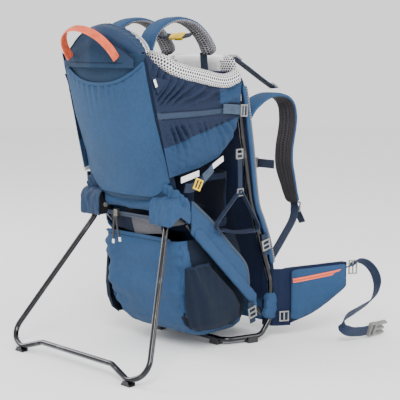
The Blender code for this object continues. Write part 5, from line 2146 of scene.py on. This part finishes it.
@dataclass
class Stirrup:
    """A foot loop hanging from its silver buckle."""

    kit: Kit
    low: float = 0.1475
    high: float = 0.159
    outline: tuple[tuple[float, float], ...] = (
        (0.0035, 0.345), (-0.056, 0.294), (-0.067, 0.281), (-0.06, 0.27), (-0.001, 0.257),
        (0.058, 0.254), (0.066, 0.264), (0.058, 0.279), (0.0115, 0.345),
    )

    def build(self) -> None:
        """Both stirrups: webbing, triangular loop, padded tread, cord lock."""
        for name, side in SIDES.items():
            body = f"stirrup_{name}"
            x = (self.low + self.high) / 2
            web = [
                Vector((side * x, 0.004, 0.43)), Vector((side * x, 0.006, 0.395)),
                Vector((side * x, 0.007, 0.35)), Vector((side * x, 0.0075, 0.338)),
            ]
            self.kit.add(
                f"stirrup_web_{name}", strap(even_line(web, WEB_STEP), 0.013, Y_AXIS), NAVY_WEBBING, body,
                [body], wall=WEB_WALL,
            )
            loop = [Vector((side * x, y, z)) for y, z in self.outline]
            self.kit.add(
                f"stirrup_loop_{name}", strap(even_line(loop, WEB_STEP), 0.0105, X_AXIS), NAVY_WEBBING, body,
                wall=DOUBLE_WEB_WALL,
            )
            tread = [
                Vector((side * x, y, z))
                for y, z in ((-0.055, 0.2715), (-0.03, 0.264), (0.0, 0.2585), (0.03, 0.257), (0.055, 0.2565))
            ]
            band = padded_band(even_line(tread, WEB_STEP), (0.0125, 0.008), X_AXIS, around=16)
            piece = self.kit.add(f"stirrup_tread_{name}", band, INNER_CLOTH, body)
            lock = ladder_lock((side * (x + 0.0002), 0.0075, 0.344), Z_AXIS, Y_AXIS, (0.019, 0.017))
            self.kit.add(f"stirrup_lock_{name}", lock, SILVER, body, wall=LOCK_WALL, edge=LOCK_EDGE)
            top = ladder_lock((side * (x + 0.0006), 0.004, 0.427), Z_AXIS, Y_AXIS, (0.021, 0.022))
            self.kit.add(f"stirrup_buckle_{name}", top, SILVER, Body.PACK, wall=LOCK_WALL, edge=LOCK_EDGE)


# ---------------------------------------------------------------- the wearer's straps


@dataclass
class WearerStraps:
    """Shoulder straps, load lifters, lower webbing and the chest strap."""

    kit: Kit
    path: tuple[tuple[float, float, float], ...] = (
        (0.1, 0.066, 0.492), (0.1, 0.094, 0.52), (0.1, 0.137, 0.541), (0.1, 0.182, 0.544),
        (0.1, 0.217, 0.528),
        (0.1, 0.229, 0.496), (0.1, 0.226, 0.461), (0.1, 0.217, 0.42), (0.1, 0.218, 0.381),
        (0.102, 0.232, 0.333), (0.104, 0.247, 0.29),
    )
    lifter: tuple[tuple[float, float, float], ...] = (
        (0.078, 0.064, 0.629), (0.082, 0.098, 0.61), (0.09, 0.146, 0.58), (0.095, 0.181, 0.5595),
    )
    lower: tuple[tuple[float, float, float], ...] = (
        (0.106, 0.25, 0.277), (0.111, 0.236, 0.252), (0.12, 0.192, 0.218), (0.13, 0.15, 0.19),
        (0.133, 0.1335, 0.178),
    )

    def shoulder(self, name: str, side: int) -> None:
        """One padded strap: blue outside, dotted mesh inside.

        Args:
            name: The side's name, for the pieces' names.
            side: 1 on the wearer's right, -1 on the left.
        """
        line = even_line(mirrored(self.path, side))

        def zone(u: float, v: float) -> int:
            """The face towards the wearer is mesh, inside a blue border."""
            return 1 if 0.055 < v < 0.445 else 0

        def size(share: float) -> tuple[float, float]:
            """The strap narrows to its lower end."""
            return 0.052 - 0.014 * max(0.0, (share - 0.82) / 0.18), 0.0108

        def lumps(u: float, v: float) -> float:
            """Soft unevenness."""
            quilting = 0.0008 * math.sin(u * 60) * math.exp(-((v - 0.25) / 0.1) ** 2)
            return 0.0007 * ripple(81.0, u * 22, v * 5) + (quilting if u > 0.6 else 0)

        band = padded_band(line, size, X_AXIS, zone, around=28, rough=lumps, ends=0.012)
        piece = self.kit.add(
            f"shoulder_pad_{name}", band, (BLUE_CLOTH, LINING_MESH), Body.PACK, [f"shoulder_strap_{name}"]
        )

    def webbing(self, name: str, side: int) -> None:
        """The load lifter and the lower webbing, with their buckles.

        Args:
            name: The side's name, for the pieces' names.
            side: 1 on the wearer's right, -1 on the left.
        """
        lifter = even_line(mirrored(self.lifter, side), WEB_STEP)
        self.kit.add(
            f"lifter_web_{name}", strap(lifter, 0.02, X_AXIS, rows=6, cup=0.0006), NAVY_WEBBING, Body.PACK,
            [f"load_lifter_{name}"], wall=WEB_WALL,
        )
        along = lifter[-1] - lifter[-6]
        lock = ladder_lock(lifter[-3] + Vector((0, 0.001, 0.003)), along, X_AXIS, (0.027, 0.021))
        self.kit.add(f"lifter_lock_{name}", lock, SILVER, Body.PACK, wall=LOCK_WALL, edge=BUCKLE_EDGE)
        lock = ladder_lock(
            lifter[2] + Vector((0, 0.001, 0.0026)), lifter[5] - lifter[0], X_AXIS, (0.027, 0.021)
        )
        self.kit.add(f"lifter_anchor_{name}", lock, SILVER, Body.PACK, wall=LOCK_WALL, edge=BUCKLE_EDGE)
        lower = even_line(mirrored([(0.1042, 0.2478, 0.295), *self.lower], side), WEB_STEP)
        across = Vector((1, 0.1 * side, 0))
        self.kit.add(
            f"lower_web_{name}", strap(lower, 0.02, across, rows=6, cup=0.0006), NAVY_WEBBING, Body.PACK,
            [f"shoulder_webbing_{name}"], wall=THICK_WALL,
        )
        lock = ladder_lock(lower[5] + Vector((0, 0.0036, 0.001)), lower[3] - lower[8], across, (0.027, 0.024))
        self.kit.add(f"lower_lock_{name}", lock, BUCKLE_GREY, Body.PACK, wall=PANEL_WALL, edge=BUCKLE_EDGE)
        tab = [
            lower[6] + Vector((side * step / 3, 0.005 + 0.3 * step, -step))
            for step in (0.0, 0.012, 0.024, 0.034)
        ]
        self.kit.add(
            f"lower_tab_{name}", strap(smooth_line(tab, 4), 0.018, across), NAVY_WEBBING, Body.PACK,
            wall=WEB_WALL,
        )

    def chest(self) -> None:
        """The chest strap and its side-release buckle."""
        web = [Vector((x, 0.212 + 0.0006, 0.381)) for x in (-0.0728, -0.04, 0.0, 0.04, 0.0728)]
        self.kit.add(
            "chest_web", strap(spaced(web, WEB_STEP), 0.02, Z_AXIS), NAVY_WEBBING, Body.CHEST,
            ["chest_strap"], wall=WEB_WALL,
        )
        for name, offset, toward in (("chest_socket", 0.0105, -1.0), ("chest_plug", -0.0105, 1.0)):
            bm = side_release(
                Vector((offset, 0.212, 0.381)), Vector((toward, 0, 0)), Z_AXIS, (0.0255, 0.03, 0.0085),
                plug=toward > 0,
            )
            self.kit.add(name, bm, BUCKLE_GREY, Body.CHEST)

    def build(self) -> None:
        """Both sides and the chest strap."""
        for name, side in SIDES.items():
            self.shoulder(name, side)
            self.webbing(name, side)
        self.chest()


@dataclass
class HipBelt:
    """The belt's fins, their zip pockets, the belt webbing and the buckle."""

    kit: Kit
    thick: float = 0.016
    pocket_thick: float = 0.013
    outline: tuple[tuple[float, float], ...] = (
        (0.012, 0.158), (0.16, 0.166), (0.173, 0.107), (0.13, 0.076), (0.09, 0.05), (0.04, 0.031),
        (0.012, 0.023),
    )
    pocket_outline: tuple[tuple[float, float], ...] = (
        (0.034, 0.155), (0.156, 0.162), (0.166, 0.11), (0.128, 0.082), (0.09, 0.057), (0.052, 0.041),
    )
    tail: tuple[tuple[float, float, float], ...] = (
        (0.244, 0.286, 0.155), (0.25, 0.3, 0.166), (0.265, 0.318, 0.16), (0.277, 0.3345, 0.136),
        (0.281, 0.339, 0.105),
        (0.285, 0.315, 0.078), (0.291, 0.25, 0.066), (0.296, 0.2, 0.059), (0.3, 0.184, 0.043),
        (0.304, 0.203, 0.028),
        (0.308, 0.24, 0.021), (0.31, 0.262, 0.02),
    )

    def place(self, side: int, s: float, z: float, out: float) -> Vector:
        """A point of the fin, from its reach, height and distance outwards.

        Args:
            side: 1 on the wearer's right, -1 on the left.
            s: Distance along the fin.
            z: Height above the floor.
            out: Distance outwards from the fin's middle line.

        Returns:
            The point.
        """
        along = Vector((0.087, 0.15, 0.0)).normalized()
        outward = Vector((along.y, -along.x, 0.0))
        point = Vector((0.15, 0.13, 0.0)) + along * s + outward * out
        return Vector((side * point.x, point.y, z))

    def slab(
        self, side: int, outline: Sequence[tuple[float, float]], near: float, far: float, puff: float,
        seed: float, zone: Zone | None = None,
    ) -> bmesh.types.BMesh:
        """A stuffed slab with the given outline.

        Args:
            side: 1 for the right, -1 for the left.
            outline: Its outline in reach and height.
            near: The inner face's distance outwards.
            far: The outer face's distance outwards.
            puff: How far the outer face bulges.
            seed: The wrinkles' seed.
            zone: The finish index.

        Returns:
            The closed slab.
        """
        reach = [s for s, _ in outline]
        first, last = min(reach), max(reach)
        lower = [(p.x, p.y) for p in smooth_line([(*p, 0.0) for p in sorted(outline[2:])])]
        upper = sorted(outline[:2])

        def shape(u: float, v: float) -> Vector:
            """A point of the slab's skin, round its vertical section."""
            end = min(u, 1 - u) * (last - first) / 0.018
            close = math.sqrt(1 - (1 - min(1.0, end)) ** 2) * 0.9 + 0.1
            s = first + (last - first) * u
            low, high = between(lower, s), between(upper, s)
            angle = 2 * math.pi * v
            c, t = math.cos(angle), math.sin(angle)
            mid, tall = (low + high) / 2, (high - low) / 2
            z = mid + math.copysign(abs(t) ** 0.42, t) * tall * (0.9 + 0.1 * close)
            depth = (far - near) / 2
            bulge = puff * (1 - (2 * u - 1) ** 4) * (1 - abs((z - mid) / tall) ** 3) if c > 0 else 0.0
            wave = 0.0016 * ripple(seed, s * 22, z * 30, c) + 0.0008 * ripple(seed + 1, s * 70, z * 60)
            out = (near + far) / 2 + math.copysign(abs(c) ** 0.5, c) * depth * close + bulge + wave
            return self.place(side, s, z, out)

        return closed_sleeve(curved_grid(80, 44, shape, (last - first, 0.3), zone))

    def fin(self, name: str, side: int) -> None:
        """The padded fin: mesh against the wearer, navy elsewhere.

        Args:
            name: The side's name, for the pieces' names.
            side: 1 on the wearer's right, -1 on the left.
        """
        def zone(u: float, v: float) -> int:
            """The face towards the wearer is mesh."""
            return 1 if 0.3 < v < 0.7 else 0

        bm = self.slab(side, self.outline, -self.thick / 2, self.thick / 2, 0.0016, 91.0, zone)
        piece = self.kit.add(
            f"fin_pad_{name}", bm, (NAVY_CLOTH, LINING_MESH), f"hip_fin_{name}", [f"hip_fin_{name}"]
        )

    def pocket(self, name: str, side: int) -> None:
        """The blue zip pocket with its coral zip.

        Args:
            name: The side's name, for the pieces' names.
            side: 1 on the wearer's right, -1 on the left.
        """
        near = self.thick / 2 + 0.0006
        bm = self.slab(side, self.pocket_outline, near, near + self.pocket_thick - 0.0045, 0.0055, 95.0)
        piece = self.kit.add(f"belt_pocket_{name}", bm, BLUE_CLOTH, f"hip_fin_{name}", [f"hip_pocket_{name}"])
        ends = ((0.036, 0.1318), (0.152, 0.1478))
        line = []
        for i in range(25):
            share = i / 24
            s = ends[0][0] + (ends[1][0] - ends[0][0]) * share
            z = ends[0][1] + (ends[1][1] - ends[0][1]) * share
            swell_out = 0.004 * (1 - (2 * share - 1) ** 4)
            line.append(self.place(side, s, z, near + self.pocket_thick - 0.0032 + swell_out * 0.8))
        self.kit.add(
            f"belt_zip_{name}", strap(spaced(line, WEB_STEP), 0.0095, Z_AXIS), CORAL_ZIP, f"hip_fin_{name}",
            wall=0.0016,
        )
        self.kit.redress(f"hip_zip_slider_{name}", SILVER)
        along = self.place(side, 1.0, 0.0, 0.0) - self.place(side, 0.0, 0.0, 0.0)
        lock = ladder_lock(self.place(side, 0.018, 0.05, near + 0.003), along, Z_AXIS, (0.024, 0.023))
        self.kit.add(
            f"stabiliser_lock_{name}", lock, SILVER, f"hip_fin_{name}", wall=LOCK_WALL, edge=LOCK_EDGE
        )
        web = [self.place(side, reach, 0.05, near + 0.001) for reach in (0.008, 0.018, 0.036)]
        self.kit.add(
            f"stabiliser_web_{name}", strap(smooth_line(web), 0.015, Z_AXIS), NAVY_WEBBING,
            f"hip_fin_{name}", wall=TAPE_WALL,
        )

    def wrap(self, name: str, side: int) -> None:
        """The navy panel from the back panel's edge out to the fin, fixed in place.

        Args:
            name: The side's name, for the pieces' names.
            side: 1 on the wearer's right, -1 on the left.
        """
        def shape(u: float, v: float) -> Vector:
            """A point of the wrap, from the back panel's edge out to the fin."""
            points = ((0.118, 0.121), (0.142, 0.1285), (0.152, 0.139), (0.166, 0.162))
            at = u * 3
            i = min(2, int(at))
            x = points[i][0] + (points[i + 1][0] - points[i][0]) * (at - i)
            y = points[i][1] + (points[i + 1][1] - points[i][1]) * (at - i)
            z = 0.027 + (0.158 - 0.027) * v
            wave = 0.0008 * ripple(98.0, u * 5, z * 30)
            return Vector((side * (x + 0.007 + wave), y - 0.005 + wave, z))

        bm = curved_grid(36, 40, shape, (0.065, 0.114))
        piece = self.kit.add(f"belt_wrap_{name}", bm, NAVY_CLOTH, Body.PACK, wall=LOCK_WALL, edge=LOCK_EDGE)
        piece.parent = None
        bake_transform(piece)

    def webbing(self, name: str, side: int) -> None:
        """The long webbing tail and its ladder lock.

        Args:
            name: The side's name, for the pieces' names.
            side: 1 on the wearer's right, -1 on the left.
        """
        line = even_line(mirrored([(0.233, 0.274, 0.15), *self.tail], side))

        def across(share: float) -> Vector:
            """The webbing twists from upright to flat on the floor."""
            return Vector((side * (0.9 - 0.55 * share), -0.15, 0.35 + 0.65 * share))

        body = f"hip_fin_{name}"
        self.kit.add(
            f"belt_tail_{name}", strap(line, 0.025, across, rows=6), BELT_WEBBING, body,
            [f"belt_webbing_{name}"], wall=WEB_WALL,
        )
        lock = ladder_lock(
            (side * 0.25, 0.286, 0.153), Vector((side * 0.5, 0.86, 0.1)), Z_AXIS, (0.033, 0.021)
        )
        self.kit.add(f"belt_lock_{name}", lock, SILVER, body, wall=0.0042, edge=0.0008)

    def buckle(self) -> None:
        """The large side-release buckle: plug on the right, socket on the left."""
        for name, side, body in (("belt_plug", 1, "hip_fin_right"), ("belt_socket", -1, "hip_fin_left")):
            along = Vector((0.08, 1.0, -0.02)).normalized()
            along.x *= side
            wide = Vector((side * 0.35, -0.15, 1.0))
            wide = (wide - along * wide.dot(along)).normalized()
            middle = Vector((side * 0.3125, 0.294, 0.0195))
            bm = side_release(middle, along, wide, (0.033, 0.06, 0.01), plug=side > 0)
            node = "belt_buckle_plug" if side > 0 else "belt_buckle_socket"
            self.kit.add(f"{name}_shell", bm, BUCKLE_GREY, body, [node])

    def build(self) -> None:
        """Both fins and the buckle."""
        for name, side in SIDES.items():
            self.fin(name, side)
            self.pocket(name, side)
            self.wrap(name, side)
            self.webbing(name, side)
        self.buckle()


# ---------------------------------------------------------------- the studio


@dataclass
class Studio:
    """Pale floor, soft lights and the camera."""

    lens: float = 97.59
    azimuth: float = math.radians(44.22)
    pitch: float = math.radians(8.41)
    eye: tuple[float, float, float] = (1.6957, -1.7011, 0.6674)

    def floor(self) -> None:
        """A pale flat disk under the carrier."""
        bm = bmesh.new()
        bmesh.ops.create_circle(bm, cap_ends=True, segments=64, radius=6.0)
        mesh = bpy.data.meshes.new("studio_floor")
        bm.to_mesh(mesh)
        bm.free()
        mesh.materials.append(PAPER.material())
        cloth_coordinates(mesh)
        floor = bpy.data.objects.new("studio_floor", mesh)
        floor.location.z = -0.0005
        bpy.context.scene.collection.objects.link(floor)

    def lamp(self, name: str, place: Sequence[float], size: float, power: float) -> None:
        """An area lamp that looks at the carrier's middle.

        Args:
            name: Its name.
            place: Where it stands.
            size: Its width in metres.
            power: Its power in watts.
        """
        light = bpy.data.lights.new(name, "AREA")
        light.shape = "DISK"
        light.size = size
        light.energy = power
        lamp = bpy.data.objects.new(name, light)
        lamp.location = place
        lamp.rotation_euler = (Vector((0, 0, 0.3)) - Vector(place)).to_track_quat("-Z", "Y").to_euler()
        bpy.context.scene.collection.objects.link(lamp)

    def build(self) -> None:
        """Floor, lights, world and camera."""
        self.floor()
        self.lamp("key_light", (2.0, -2.2, 2.6), 1.6, 120.0)
        self.lamp("fill_light", (2.6, 0.8, 1.4), 1.8, 42.0)
        self.lamp("rear_light", (-2.2, -1.0, 1.8), 1.4, 40.0)
        world = bpy.data.worlds.new("studio_air")
        world.use_nodes = True
        world.node_tree.nodes["Background"].inputs[0].default_value = (1.0, 1.0, 1.0, 1.0)
        world.node_tree.nodes["Background"].inputs[1].default_value = 1.35
        bpy.context.scene.world = world
        lens = bpy.data.cameras.new("studio_camera")
        lens.lens = self.lens
        lens.sensor_width = 36.0
        camera = bpy.data.objects.new("studio_camera", lens)
        camera.location = self.eye
        forward = Vector((-math.sin(self.azimuth), math.cos(self.azimuth), -math.tan(self.pitch)))
        camera.rotation_euler = forward.to_track_quat("-Z", "Y").to_euler()
        bpy.context.scene.collection.objects.link(camera)
        bpy.context.scene.camera = camera


def main() -> None:
    """Build the carrier's looks in order, then the studio."""
    logging.basicConfig(level=logging.INFO, format="%(name)s %(message)s")
    kit = Kit()
    tubes = TubeFrame(kit)
    parts = [
        tubes, BackSystem(kit, tubes), RearPanel(kit), TopCap(kit), Cockpit(kit), ChildHarness(kit), Seat(kit)
    ]
    parts += [LowerBag(kit), SidePieces(kit), Stirrup(kit), WearerStraps(kit), HipBelt(kit), Studio()]
    for part in parts:
        part.build()
    log.info("%d pieces", len(kit.made))


if __name__ == "__main__":
    main()
